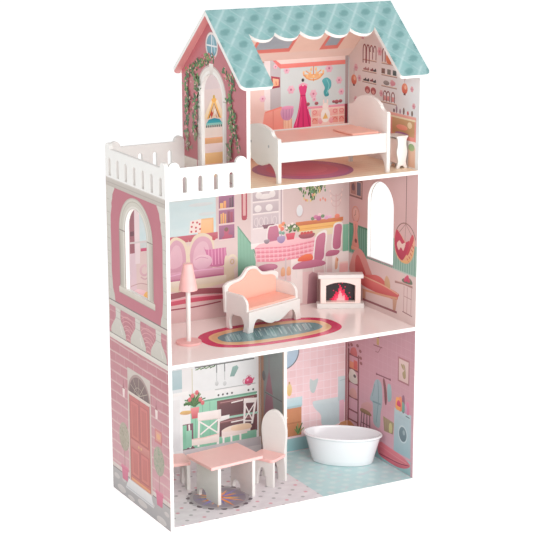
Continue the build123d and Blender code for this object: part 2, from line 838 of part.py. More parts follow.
def chair(name, place):
    """Chair of three boards; its front is towards its own -Y."""
    with BuildPart() as chair_back:
        with BuildSketch(on(place, Plane.XZ.offset(-chair_back_face - chair_board))):
            add(chair_back_outline)
        extrude(amount=chair_board)
    name_and_write(chair_back.part, name + "_back")

    with BuildPart() as chair_legs:
        with BuildSketch(on(place, Plane.XZ.offset(-chair_leg_face - chair_board))):
            with Locations((0, chair_seat_bottom / 2)):
                Rectangle(chair_width - 2, chair_seat_bottom)
            chair_feet_cut()
        extrude(amount=chair_board)
    name_and_write(chair_legs.part, name + "_legs")

    with BuildPart() as chair_seat:
        seat_front = chair_leg_face - 3.0
        with BuildSketch(on(place, Plane.XY.offset(chair_seat_bottom))):
            with Locations((0, (seat_front + chair_back_face) / 2)):
                Rectangle(chair_width, chair_back_face - seat_front)
            fillet(vertices().sort_by(Axis.Y)[:2], 9.0)
        extrude(amount=chair_seat_top - chair_seat_bottom)
    name_and_write(chair_seat.part, name + "_seat")


chair("chair_right", local(304.0, 137.0, board, -62.0))
chair("chair_left", local(109.0, 209.0, board, 80.0))

# ---- bathtub --------------------------------------------------------------------------------
bathtub_place = local(512.5, 168.0, board, -40.0)
tub_height = 69.0
tub_lip = 5.0
tub_floor = 5.0
lip_bottom = tub_height - tub_lip


def tub_level(height):
    return on(bathtub_place, Plane.XY.offset(height))


with BuildPart() as bathtub:
    with BuildSketch(tub_level(0)):
        Ellipse(70.0, 38.5)
    with BuildSketch(tub_level(lip_bottom)):
        Ellipse(87.0, 48.0)
    loft()
    with BuildSketch(tub_level(lip_bottom)):
        Ellipse(91.0, 51.5)
    extrude(amount=tub_lip)
    with BuildSketch(tub_level(tub_floor)):
        Ellipse(64.0, 32.5)
    with BuildSketch(tub_level(tub_height + 0.01)):
        Ellipse(84.0, 45.0)
    loft(mode=Mode.SUBTRACT)
name_and_write(bathtub.part, "bathtub")
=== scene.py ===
"""Looks for a three-storey wooden dollhouse with its furniture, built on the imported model.

Boards carry materials that read the object's own coordinates. What is printed on them with more
shape than that is drawn by Print, as flat inked faces a hair above the board, in millimetres from
the house's front left corner. Painted furniture is the CAD shape again with rounded edges."""
import math
import random

import bmesh
import bpy
from mathutils import Matrix, Vector


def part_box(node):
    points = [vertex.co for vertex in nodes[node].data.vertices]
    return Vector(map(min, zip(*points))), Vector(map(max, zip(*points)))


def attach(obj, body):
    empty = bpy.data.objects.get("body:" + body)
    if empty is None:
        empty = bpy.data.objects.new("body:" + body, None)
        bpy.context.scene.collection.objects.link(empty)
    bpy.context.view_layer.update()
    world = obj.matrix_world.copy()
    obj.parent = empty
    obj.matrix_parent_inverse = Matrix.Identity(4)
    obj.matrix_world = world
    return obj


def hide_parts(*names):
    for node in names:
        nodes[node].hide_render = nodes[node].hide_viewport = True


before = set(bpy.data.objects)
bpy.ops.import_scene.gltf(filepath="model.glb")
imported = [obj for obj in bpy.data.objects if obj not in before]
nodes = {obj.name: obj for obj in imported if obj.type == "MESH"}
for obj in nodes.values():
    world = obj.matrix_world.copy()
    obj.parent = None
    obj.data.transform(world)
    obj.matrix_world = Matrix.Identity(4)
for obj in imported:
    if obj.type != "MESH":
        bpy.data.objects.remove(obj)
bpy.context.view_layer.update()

MM = 0.001
BOARD = 0.008
X, Y, Z = Vector((1, 0, 0)), Vector((0, 1, 0)), Vector((0, 0, 1))

house_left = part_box("left_wall")[0].x
house_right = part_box("right_wall")[1].x
house_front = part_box("left_wall")[0].y
ground_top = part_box("base_panel")[1].z
middle_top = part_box("middle_floor")[1].z
attic_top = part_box("attic_floor")[1].z
attic_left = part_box("attic_left_wall")[0].x
ridge_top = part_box("front_roof_panel")[1].z
roof_slope = math.radians(41)

# ---------------------------------------------------------------- small helpers

def lighter(colour, by):
    return [min(255, c + by) for c in colour]


def arc(u, v, ru, rv, degrees):
    """Points of an oval round (u, v) at the given angles."""
    return [(u + ru * math.cos(math.radians(a)), v + rv * math.sin(math.radians(a))) for a in degrees]


def spread(start, end, count):
    """Even steps from start to end in degrees; a full turn leaves its last step out."""
    steps = [start + (end - start) * i / count for i in range(count + 1)]
    return steps[:-1] if end - start >= 360 else steps


def arch_outline(u, v0, half, spring, rise):
    """Up from v0, over a round top, and down again."""
    return [(u + half, v0)] + arc(u, spring, half, rise, range(0, 181, 9)) + [(u - half, v0)]


def tint(colour):
    """A screen colour out of 255 as the linear colour that shaders take."""
    parts = [c / 255 for c in colour]
    return [c / 12.92 if c < 0.04045 else ((c + 0.055) / 1.055) ** 2.4 for c in parts]


def new_piece(name, mesh, material):
    """An object in the scene that shows the mesh in one material."""
    mesh.materials.append(material)
    return link(bpy.data.objects.new(name, mesh))


def link(made):
    bpy.context.scene.collection.objects.link(made)
    return made


# ---------------------------------------------------------------- materials

class Signal:
    """A number that a material works out, so that shader maths reads as plain maths."""

    def __init__(self, paint, socket):
        self.paint, self.socket = paint, socket

    def __add__(self, other):
        return self.paint.do("ADD", self, other)

    def __sub__(self, other):
        return self.paint.do("SUBTRACT", self, other)

    def __rsub__(self, other):
        return self.paint.do("SUBTRACT", other, self)

    def __mul__(self, other):
        return self.paint.do("MULTIPLY", self, other)

    def __truediv__(self, other):
        return self.paint.do("DIVIDE", self, other)

    def __pow__(self, other):
        return self.paint.do("POWER", self, other)

    def __abs__(self):
        return self.paint.do("ABSOLUTE", self)


class Paint:
    """One material's node graph, with short calls for what goes into it."""

    def __init__(self, name, **finish):
        self.material = bpy.data.materials.new(name)
        self.material.use_nodes = True
        self.tree = self.material.node_tree
        self.shader = self.tree.nodes["Principled BSDF"]
        for socket, value in finish.items():
            self.shader.inputs[socket.replace("_", " ")].default_value = value
        self.x, self.y, self.z = self.parts(self.node("TexCoord").outputs["Object"])

    def node(self, kind, **settings):
        made = self.tree.nodes.new("ShaderNode" + kind)
        for key, value in settings.items():
            setattr(made, key, value)
        return made

    def feed(self, socket, value):
        value = getattr(value, "socket", value)
        if isinstance(value, bpy.types.NodeSocket):
            self.tree.links.new(value, socket)
        elif isinstance(value, (tuple, list)) and len(value) == 3 and socket.type == "RGBA":
            socket.default_value = [*tint(value), 1]
        else:
            socket.default_value = value

    def parts(self, vector):
        split = self.node("SeparateXYZ")
        self.feed(split.inputs[0], vector)
        return [Signal(self, split.outputs[i]) for i in range(3)]

    def normal(self):
        return self.parts(self.node("TexCoord").outputs["Normal"])

    def do(self, kind, a, b=0.0, c=0.0, clamp=False):
        made = self.node("Math", operation=kind, use_clamp=clamp)
        for socket, value in zip(made.inputs, (a, b, c)):
            self.feed(socket, value)
        return Signal(self, made.outputs[0])

    def fract(self, value):
        return self.do("FRACT", value)

    def over(self, value, edge, soft=0.0006):
        """1 where value is over edge, with a soft step."""
        return self.do("MULTIPLY_ADD", value, 1 / soft, 0.5 - edge / soft, clamp=True)

    def under(self, value, edge, soft=0.0006):
        return self.do("MULTIPLY_ADD", value, -1 / soft, 0.5 + edge / soft, clamp=True)

    def between(self, value, low, high, soft=0.0006):
        return self.over(value, low, soft) * self.under(value, high, soft)

    def most(self, *masks):
        best = masks[0]
        for mask in masks[1:]:
            best = self.do("MAXIMUM", best, mask)
        return best

    def vector(self, a, b, c=0.0):
        made = self.node("CombineXYZ")
        for socket, value in zip(made.inputs, (a, b, c)):
            self.feed(socket, value)
        return made.outputs[0]

    def mix(self, share, a, b):
        made = self.node("Mix", data_type="RGBA")
        self.feed(made.inputs[0], share)
        self.feed(made.inputs[6], a)
        self.feed(made.inputs[7], b)
        return made.outputs[2]

    def noise(self, scale, detail=2.0, vector=None, stretch=None):
        made = self.node("TexNoise")
        place = vector or self.node("TexCoord").outputs["Object"]
        if stretch:
            mapped = self.node("Mapping")
            self.feed(mapped.inputs["Vector"], place)
            mapped.inputs["Scale"].default_value = stretch
            place = mapped.outputs[0]
        self.feed(made.inputs["Vector"], place)
        made.inputs["Scale"].default_value = scale
        made.inputs["Detail"].default_value = detail
        return Signal(self, made.outputs["Fac"])

    def chance(self, a, b, c=0.0):
        """A random share for each whole-number pair."""
        made = self.node("TexWhiteNoise", noise_dimensions="3D")
        self.feed(made.inputs["Vector"], self.vector(a, b, c))
        return Signal(self, made.outputs["Value"])

    def bump(self, height, strength, distance=0.0004):
        made = self.node("Bump")
        made.inputs["Strength"].default_value = strength
        made.inputs["Distance"].default_value = distance
        self.feed(made.inputs["Height"], height)
        self.tree.links.new(made.outputs[0], self.shader.inputs["Normal"])

    def done(self, colour):
        self.feed(self.shader.inputs["Base Color"], colour)
        return self.material

    def mottle(self, colour, amount=0.05, scale=60.0):
        """The colour with faint cloudy changes, as ink or paint has."""
        cloud = self.noise(scale, 3.0)
        value = self.do("MULTIPLY_ADD", cloud, amount * 2, 1 - amount)
        made = self.node("HueSaturation")
        self.feed(made.inputs["Value"], value)
        self.feed(made.inputs["Color"], colour)
        return made.outputs[0]

    def cells(self, across, up, width, height, stagger=0.5):
        """Running bond: (column, row, share across the cell, share up the cell)."""
        row_place = up / height
        row = self.do("FLOOR", row_place)
        shift = self.do("FLOORED_MODULO", row, 2.0) * stagger
        column_place = across / width + shift
        column = self.do("FLOOR", column_place)
        return column, row, self.fract(column_place), self.fract(row_place)


WHITE = (238, 236, 232)
GABLE = (190, 107, 114)
ROUND = 2 * math.pi
# Heights and places, in metres, where one print gives way to the next.
PARLOUR_LOW, ATTIC_LOW = 0.351, 0.695
WAINSCOT = (0.466, 0.533)
WAINSCOT_STRIPE = 0.009
TILE = 0.0185
BATH_LEFT = 0.061


def fine_texture(paint):
    """The faint orange peel of a printed laminate."""
    paint.bump(paint.noise(420.0, 2.0), 0.12, 0.0002)


def board_paint(name, faces, rough=0.4):
    """A white board whose printed faces are given as (direction, colour maker); its edges stay white."""
    paint = Paint(name, Roughness=rough, Coat_Weight=0.12, Coat_Roughness=0.25)
    colour = paint.mottle(WHITE, 0.012, 25.0)
    nx, ny, nz = paint.normal()
    for direction, maker in faces:
        facing = nx * direction[0] + ny * direction[1] + nz * direction[2]
        colour = paint.mix(paint.over(facing, 0.9, 0.05), colour, maker(paint))
    fine_texture(paint)
    return paint.done(colour)


def brick(paint, across, deep, pale, mortar):
    """Printed brick courses that grow paler towards the ground."""
    wave = (paint.noise(22.0, 2.0) - 0.5) * 0.006
    column, row, u, v = paint.cells(across, paint.z + wave, 0.046, 0.0225)
    pick = paint.chance(column, row)
    face = paint.mix(paint.over(paint.z, 0.2, 0.22), pale, deep)
    face = paint.mix(pick * 0.35, face, (204, 146, 154))
    streak = paint.noise(55.0, 3.0, stretch=(1.0, 0.25, 2.0))
    face = paint.mix(streak * 0.28, face, (164, 98, 108))
    gaps = paint.over(paint.noise(28.0, 3.0, stretch=(1.0, 0.5, 2.0)), 0.34, 0.3)
    joint = paint.most(paint.under(v, 0.13, 0.16), paint.under(u, 0.03, 0.04) * 0.6)
    return paint.mottle(paint.mix(joint * gaps * 0.8, face, mortar), 0.05, 90.0)


def outer_wall(paint):
    """Brick below, a balustrade band, deep pink above it, white railing at the top."""
    bricks = brick(paint, paint.y, (180, 106, 114), (200, 148, 154), (210, 184, 178))
    balusters = brick(paint, paint.y, (182, 104, 116), (188, 112, 124), (204, 148, 150))
    soft = paint.noise(18.0, 2.0)
    deep = paint.mix(soft, (178, 90, 106), (188, 102, 116))
    colour = paint.mix(paint.over(paint.z, 0.3495), bricks, balusters)
    colour = paint.mix(paint.over(paint.z, 0.43), colour, deep)
    top = paint.mix(paint.over(paint.x, 0.0), WHITE, GABLE)
    return paint.mix(paint.over(paint.z, ATTIC_LOW), colour, top)


def kitchen_wall(paint):
    return paint.mottle((236, 233, 232), 0.02, 30.0)


def parlour_wall(paint):
    """Pale pink over a striped green wainscot."""
    stripe = paint.do("SINE", (paint.y + paint.x) * (ROUND / WAINSCOT_STRIPE))
    green = paint.mix(paint.over(stripe, 0.1, 0.8), (116, 172, 148), (140, 192, 168))
    pink = paint.mix(paint.noise(9.0, 2.0), (222, 182, 184), (234, 200, 200))
    colour = paint.mix(paint.between(paint.z, *WAINSCOT), pink, green)
    return paint.mottle(colour, 0.03, 40.0)


def inner_left(paint):
    colour = paint.mix(paint.over(paint.z, PARLOUR_LOW), kitchen_wall(paint), parlour_wall(paint))
    return paint.mix(paint.over(paint.z, ATTIC_LOW), colour, WHITE)


def tiles(paint, across):
    column, row, u, v = paint.cells(across, paint.z, TILE, TILE, 0.0)
    tile = paint.mix(paint.chance(column, row), (240, 204, 206), (246, 214, 216))
    grout = paint.most(paint.under(u, 0.07, 0.05), paint.under(v, 0.07, 0.05))
    return paint.mottle(paint.mix(grout * 0.8, tile, (250, 232, 236)), 0.03, 60.0)


def inner_right(paint):
    """Dusty pink bathroom tiles, and above them the parlour's pink over green. The parlour and attic parts
    grow darker towards the back corner: painted shade.
    """
    _, _, u, v = paint.cells(paint.y, paint.z, TILE, TILE, 0.0)
    grout = paint.most(paint.under(u, 0.06, 0.05), paint.under(v, 0.06, 0.05))
    bath = paint.mix(paint.over(paint.z, 0.24, 0.3), (214, 166, 178), (198, 150, 158))
    bath = paint.mix(grout * 0.35, bath, (222, 186, 196))
    stripe = paint.do("SINE", paint.y * (ROUND / WAINSCOT_STRIPE))
    near = paint.mix(paint.over(stripe, 0.1, 0.9), (128, 172, 156), (160, 196, 182))
    # far is a darker green that takes over towards the back: painted shade in the back corner.
    far = paint.mix(paint.over(stripe, 0.1, 0.9), (74, 138, 114), (110, 162, 140))
    green = paint.mix(paint.over(paint.y, 0.0, 0.12), near, far)
    # Both pinks are darker towards the back: painted shade.
    upper = paint.mix(paint.over(paint.y, 0.02, 0.2), (216, 182, 180), (204, 160, 158))
    lower = paint.mix(paint.over(paint.y, 0.02, 0.2), (226, 204, 200), (216, 186, 184))
    pink = paint.mix(paint.over(paint.z, 0.5), lower, upper)
    parlour = paint.mix(paint.between(paint.z, *WAINSCOT), pink, green)
    colour = paint.mix(paint.over(paint.z, PARLOUR_LOW), bath, parlour)
    # The attic part turns warmer and a little darker towards the back: painted shade.
    attic = paint.mix(paint.over(paint.y, -0.02, 0.2), (236, 240, 242), (238, 225, 221))
    return paint.mottle(paint.mix(paint.over(paint.z, ATTIC_LOW), colour, attic), 0.035, 35.0)


def attic_paper(paint):
    return paint.mottle(paint.mix(paint.noise(8.0), (206, 216, 216), (218, 226, 224)), 0.03, 40.0)


def gable_pink(paint):
    climb = paint.z + paint.y * 0.6
    colour = paint.mix(paint.over(climb, 0.92, 0.36), (188, 104, 112), (192, 110, 116))
    return paint.mottle(colour, 0.05, 30.0)


def shingles(paint):
    """Staggered pillow shingles: dark slanting dimples, with pale ridges that climb to the right."""
    pitch, step = 0.0535, 0.0345
    down = paint.do("MULTIPLY_ADD", paint.z, -1 / math.sin(roof_slope), ridge_top / math.sin(roof_slope))
    half = (down + 0.006) * (0.5 / step)
    along = (paint.x + 0.012) * (1 / pitch)
    u, v = along + half, along - half
    du = paint.fract(u + 0.5) - 0.5
    dv = paint.fract(v + 0.5) - 0.5
    dx = (du + dv) * (pitch / 2)
    ds = (du - dv) * step
    wobble = (paint.noise(150.0, 3.0) - 0.5) * 0.016
    lean = dx + ds * 0.45 + wobble
    across = abs(lean / 0.0106) ** 2.2
    tall = abs(ds / 0.0092) ** 2.2
    dimple = paint.under(across + tall, 0.95, 1.2)
    base = paint.mix(paint.noise(30.0, 4.0), (116, 162, 162), (146, 182, 183))
    band = abs(paint.fract(u) - 0.5)
    base = paint.mix(paint.under(band, 0.26, 0.35) * 0.5, base, (168, 198, 199))
    shade = paint.over(dv, 0.0, 0.5) * paint.over(paint.noise(50.0, 2.0), 0.4, 0.3)
    base = paint.mix(shade * 0.3, base, (122, 178, 174))
    broken = paint.over(paint.noise(60.0, 3.0), 0.42, 0.14)
    streak = paint.under(band, 0.05, 0.07) * broken
    colour = paint.mix(streak * 0.5, base, (192, 214, 214))
    cross = abs(paint.fract(v) - 0.5)
    seam = paint.under(cross, 0.04, 0.07) * broken
    colour = paint.mix(seam * 0.36, colour, (182, 206, 206))
    halo = paint.under(across + tall, 2.2, 1.4)
    colour = paint.mix(halo * 0.16, colour, (168, 198, 198))
    colour = paint.mix(dimple * 0.64, colour, (90, 138, 138))
    return paint.mottle(colour, 0.07, 190.0)


def soffit(paint):
    """The back roof's underside: peach, with framed skylights, and pink under the overhang."""
    drop = ridge_top - paint.z
    skylight, frame_mask = 0.0, 0.0
    for low, high in ((-0.105, -0.04), (0.03, 0.112), (0.203, 0.234)):
        deep = paint.between(drop, 0.045, 0.101)
        wide = paint.between(drop, 0.037, 0.110)
        inside = paint.between(paint.x, low, high) * deep
        rim = paint.between(paint.x, low - 0.008, high + 0.008) * wide
        skylight = paint.do("MAXIMUM", inside, skylight)
        frame_mask = paint.do("MAXIMUM", rim, frame_mask)
    peach = paint.mix(paint.noise(10.0), (252, 214, 196), (255, 226, 210))
    glass = paint.mix(paint.noise(30.0, 3.0), (152, 170, 182), (182, 198, 206))
    colour = paint.mix(frame_mask, peach, (238, 134, 122))
    colour = paint.mix(skylight, colour, glass)
    colour = paint.mix(paint.over(drop, 0.112, 0.004), colour, (250, 222, 210))
    colour = paint.mix(paint.under(paint.x, attic_left), colour, (232, 158, 156))
    return paint.mottle(colour, 0.04, 40.0)


def kitchen_floor(paint):
    """Pale kitchen floor with small pink and grey marks; teal bathroom floor with pale rounds."""
    width, depth = 0.0395, 0.0225
    column, row, u, v = paint.cells(paint.x, paint.y, width, depth)
    du, dv = u - 0.5, v - 0.5
    du, dv = du * width, dv * depth
    mark = paint.under(paint.do("SQRT", du * du + dv * dv), 0.0042, 0.0022)
    pink = paint.over(paint.chance(column, row), 0.5, 0.01)
    ink = paint.mix(pink, (164, 158, 162), (226, 140, 158))
    floor = paint.mix(paint.noise(30.0, 4.0, stretch=(1.0, 2.2, 1.0)), (222, 212, 218), (252, 248, 250))
    kitchen = paint.mix(mark * 0.75, floor, ink)
    width, depth = 0.034, 0.024
    _, _, a, b = paint.cells(paint.x, paint.y, width, depth)
    a, b = (a - 0.5) * width, (b - 0.5) * depth
    ring = paint.do("SQRT", a * a + b * b)
    water = paint.mix(paint.noise(12.0, 3.0), (176, 216, 218), (206, 234, 234))
    bath = paint.mix(paint.under(ring, 0.0075, 0.006) * 0.55, water, (222, 240, 238))
    bath = paint.mix(paint.over(paint.noise(60.0), 0.6, 0.1) * 0.3, bath, (228, 208, 216))
    return paint.mottle(paint.mix(paint.over(paint.x, 0.059), kitchen, bath), 0.03, 50.0)


def pink_floor(paint):
    return paint.mottle(paint.mix(paint.noise(7.0, 2.0), (253, 236, 232), (255, 244, 240)), 0.02, 30.0)


def plank_floor(paint):
    """Tan boards in the attic room, and white on the balcony beside it."""
    column, row, u, v = paint.cells(paint.x, paint.y, 0.12, 0.02, 0.37)
    grain = paint.noise(40.0, 4.0, stretch=(0.6, 6.0, 1.0))
    wood = paint.mix(grain, (250, 218, 184), (255, 236, 208))
    wood = paint.mix(paint.chance(column, row) * 0.3, wood, (248, 214, 182))
    joint = paint.most(paint.under(v, 0.05, 0.04), paint.under(u, 0.008, 0.006))
    wood = paint.mix(joint * 0.4, wood, (190, 140, 108))
    return paint.mix(paint.under(paint.x, attic_left + 0.004), wood, (238, 226, 226))


def back_kitchen(paint):
    bath = tiles(paint, paint.x)
    return paint.mix(paint.over(paint.x, BATH_LEFT), kitchen_wall(paint), bath)


def back_parlour(paint):
    """Pale blue over pink at the left, dining-room pink at the right."""
    blue = paint.mix(paint.noise(14.0, 3.0, stretch=(1, 1, 3)), (180, 204, 206), (204, 216, 216))
    pink = paint.mix(paint.noise(9.0, 2.0), (202, 178, 174), (212, 190, 186))
    sky = paint.under(paint.x, -0.053) * paint.over(paint.z, 0.545)
    return paint.mottle(paint.mix(sky, pink, blue), 0.025, 40.0)


def back_attic(paint):
    coral = paint.mix(paint.noise(20.0), (248, 190, 176), (252, 206, 190))
    return paint.mix(paint.under(paint.z, 0.76), attic_paper(paint), coral)


roof_front = (0, -math.sin(roof_slope), math.cos(roof_slope))
roof_back = (0, math.sin(roof_slope), math.cos(roof_slope))


def turned_over(direction):
    return tuple(-part for part in direction)


PRINTED = {
    "left_wall": [((-1, 0, 0), outer_wall), ((1, 0, 0), inner_left)],
    "right_wall": [((1, 0, 0), outer_wall), ((-1, 0, 0), inner_right)],
    "attic_left_wall": [((-1, 0, 0), gable_pink), ((1, 0, 0), attic_paper)],
    "partition_wall": [((-1, 0, 0), kitchen_wall), ((1, 0, 0), lambda p: tiles(p, p.y))],
    "base_panel": [((0, 0, 1), kitchen_floor)],
    "attic_floor": [((0, 0, 1), plank_floor)],
    "back_panel_ground": [((0, -1, 0), back_kitchen)],
    "back_panel_middle": [((0, -1, 0), back_parlour)],
    "back_panel_attic": [((0, -1, 0), back_attic)],
    "front_roof_panel": [(roof_front, shingles), (turned_over(roof_front), soffit)],
    "back_roof_panel": [(roof_back, shingles), (turned_over(roof_back), soffit)],
}


def dress(name, material):
    mesh = nodes[name].data
    mesh.materials.clear()
    mesh.materials.append(material)


for name, faces in PRINTED.items():
    dress(name, board_paint(name + "_print", faces))
dress("middle_floor", board_paint("middle_floor_print", [((0, 0, 1), pink_floor)], rough=0.16))
white_board = board_paint("white_laminate", [])
for name in ("front_railing", "back_railing"):
    dress(name, white_board)


# ---------------------------------------------------------------- printed pictures

def ink_material(name, rough):
    paint = Paint(name, Roughness=rough, Coat_Weight=0.12, Coat_Roughness=0.25)
    source = paint.node("Attribute", attribute_name="ink")
    colour = paint.mottle(source.outputs["Color"], 0.045, 75.0)
    fine_texture(paint)
    return paint.done(colour)


INK = ink_material("printed_ink", 0.4)
GLOSSY_INK = ink_material("glossy_ink", 0.16)
# In millimetres: how far ink stands off its board, and each shape off the one it overlaps.
INK_GAP, INK_STEP = 0.03, 0.02


def smooth(points, closed=True, steps=4):
    """A Catmull-Rom curve through the points."""
    count = len(points)
    made = []
    for i in range(count if closed else count - 1):
        if closed:
            a, b, c, d = (points[(i + k) % count] for k in (-1, 0, 1, 2))
        else:
            a, b, c, d = (points[min(max(i + k, 0), count - 1)] for k in (-1, 0, 1, 2))
        for step in range(steps):
            t = step / steps
            made.append(tuple(
                0.5 * (2 * q + (r - p) * t + (2 * p - 5 * q + 4 * r - s) * t * t
                       + (3 * q - p - 3 * r + s) * t ** 3)
                for p, q, r, s in zip(a, b, c, d)
            ))
    if not closed:
        made.append(tuple(points[-1]))
    return made


class Print:
    """Flat inked shapes on one face of a board, in millimetres along right and up from origin.
    A shape that lies over another is lifted a hair above it."""

    def __init__(self, name, origin, right, up, out, slot="printed_wall", ink=None,
                 haze=0.0, veil=(222, 200, 200)):
        self.name, self.origin, self.slot = name, Vector(origin), slot
        self.haze, self.veil = haze, veil
        self.right, self.up, self.out = right, up, out
        self.ink = ink or INK
        self.flip = right.cross(up).dot(out) < 0
        self.points, self.faces, self.inks, self.boxes = [], [], [], []

    def shape(self, loops, colour, top=None):
        """Faces that share one height. colour runs up to the colour called top."""
        flat = [p for loop in loops for p in loop]
        low_u, high_u = min(p[0] for p in flat), max(p[0] for p in flat)
        low_v, high_v = min(p[1] for p in flat), max(p[1] for p in flat)
        under = [
            box[4] for box in self.boxes
            if box[0] < high_u and box[2] > low_u and box[1] < high_v and box[3] > low_v
        ]
        level = 1 + max(under, default=0)
        self.boxes.append((low_u, low_v, high_u, high_v, level))
        lift = (INK_GAP + INK_STEP * level) * MM
        lower, upper = (
            tint([c + (v - c) * self.haze for c, v in zip(ink, self.veil)])
            for ink in (colour, top or colour)
        )
        for loop in loops:
            first = len(self.points)
            for u, v in loop:
                share = (v - low_v) / max(high_v - low_v, 1e-6)
                place = self.origin + self.right * u * MM + self.up * v * MM + self.out * lift
                self.points.append(place)
                self.inks.append([a + (b - a) * share for a, b in zip(lower, upper)] + [1.0])
            face = list(range(first, first + len(loop)))
            self.faces.append(face[::-1] if self.flip else face)

    def poly(self, points, colour, top=None):
        turn = sum(
            a[0] * b[1] - b[0] * a[1] for a, b in zip(points, points[1:] + points[:1])
        )
        self.shape([points if turn > 0 else points[::-1]], colour, top)

    def rect(self, u0, v0, u1, v1, colour, top=None):
        self.poly([(u0, v0), (u1, v0), (u1, v1), (u0, v1)], colour, top)

    def blob(self, points, colour, top=None):
        self.poly(smooth(points), colour, top)

    def oval(self, u, v, ru, rv, colour, top=None, turn=0, start=0, end=360, count=24):
        cos, sin = math.cos(math.radians(turn)), math.sin(math.radians(turn))
        upright = arc(0, 0, ru, rv, spread(start, end, count))
        self.poly([(u + a * cos - b * sin, v + a * sin + b * cos) for a, b in upright], colour, top)

    def line(self, points, width, colour, top=None, curved=False, closed=False):
        if curved:
            points = smooth(points, closed)
        count = len(points)
        left, right = [], []
        for i, (u, v) in enumerate(points):
            before = points[i - 1] if i or closed else points[i]
            after = points[(i + 1) % count] if i < count - 1 or closed else points[i]
            du, dv = after[0] - before[0], after[1] - before[1]
            reach = math.hypot(du, dv) or 1.0
            nu, nv = -dv / reach * width / 2, du / reach * width / 2
            left.append((u + nu, v + nv))
            right.append((u - nu, v - nv))
        loops = []
        for i in range(count if closed else count - 1):
            j = (i + 1) % count
            loops.append([right[i], right[j], left[j], left[i]])
        self.shape(loops, colour, top)

    def ring(self, u, v, ru, rv, width, colour, start=0, end=360, top=None):
        points = arc(u, v, ru, rv, spread(start, end, 36))
        self.line(points, width, colour, top, closed=end - start >= 360)

    def arch(self, u, v0, half, spring, rise, colour, top=None):
        """A shape with an arched top, from v0 up."""
        self.poly(arch_outline(u, v0, half, spring, rise), colour, top)

    def arch_frame(self, u, v0, inner, outer, spring, inner_rise, outer_rise, colour, top=None):
        """The band between an arched opening and a larger arch round it."""
        near = arch_outline(u, v0, inner, spring, inner_rise)
        far = arch_outline(u, v0, outer, spring, outer_rise)
        loops = [[near[i], far[i], far[i + 1], near[i + 1]] for i in range(len(near) - 1)]
        self.shape(loops, colour, top)

    def done(self):
        mesh = bpy.data.meshes.new(self.name)
        mesh.from_pydata(self.points, [], self.faces)
        inks = mesh.attributes.new("ink", "FLOAT_COLOR", "POINT")
        inks.data.foreach_set("color", [part for ink in self.inks for part in ink])
        piece = new_piece(self.name, mesh, self.ink)
        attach(piece, "root")
        return piece


BRASS = (214, 160, 84)
LEAVES = ((86, 132, 62), (50, 96, 44), (118, 152, 84), (66, 112, 56), (40, 78, 40))
ROSES = ((222, 112, 120), (236, 150, 150), (200, 78, 96), (240, 186, 180))


def leaf_run(page, path, dice, scatter=9.0, every=2.6, fade=None, rose_share=0.3):
    """Leaves and small roses scattered along a curve; below the height called fade they grow pale."""
    points = smooth(path, closed=False, steps=6)
    carried, grown = 0.0, dice.uniform(0, 30)
    for (u0, v0), (u1, v1) in zip(points, points[1:]):
        carried += math.hypot(u1 - u0, v1 - v0)
        while carried > every:
            carried -= every
            grown += every
            clump = 0.5 + 0.35 * (1 + math.sin(grown / 5.5))
            for _ in range(3 + int(clump)):
                u = u1 + dice.gauss(0, scatter * 0.8 * clump)
                v = v1 + dice.gauss(0, scatter * 0.6 * clump)
                wash = 0.0 if fade is None or v > fade else min(0.6, (fade - v) / 60)
                if dice.random() < rose_share:
                    colour = dice.choice(ROSES)
                    size = dice.uniform(2.0, 3.6)
                    shade = [c + (206 - c) * wash for c in colour]
                    page.oval(u, v, size, size * 0.9, shade, count=8)
                    page.oval(u, v, size * 0.45, size * 0.4, [c * 0.8 for c in shade], count=6)
                else:
                    colour = dice.choice(LEAVES)
                    shade = [c + (b - c) * wash for c, b in zip(colour, (206, 170, 160))]
                    size = dice.uniform(3.2, 6.2)
                    page.oval(u, v, size, size * 0.5, shade, turn=dice.uniform(0, 180), count=7)


def strokes(page, places, v0, v1, width, colour, lean=0):
    """A row of upright lines."""
    for u in places:
        page.line([(u, v0), (u + lean, v1)], width, colour)


def blocks(page, rows, by):
    """Books, bottles and boxes at (across, up, width, height, colour), paler at the top."""
    for u, v, width, height, colour in rows:
        page.rect(u, v, u + width, v + height, colour, lighter(colour, by))


def balls(page, rows, by, squash=1.0, count=12):
    """Round things at (across, up, size, colour), paler at the top."""
    for u, v, size, colour in rows:
        page.oval(u, v, size, size * squash, colour, lighter(colour, by), count=count)


def dots(page, places, ru, rv, colour, top=None, count=24):
    for u, v in places:
        page.oval(u, v, ru, rv, colour, top, count=count)


def blossoms(page, places, petal, petal_top, eye, eye_share):
    """Six-petalled flowers at (across, up, size)."""
    for u, v, size in places:
        for turn in (0, 60, 120):
            page.oval(u, v, size, size * 0.5, petal, petal_top, turn=turn, count=12)
        page.oval(u, v, size * eye_share, size * eye_share, eye, count=8)


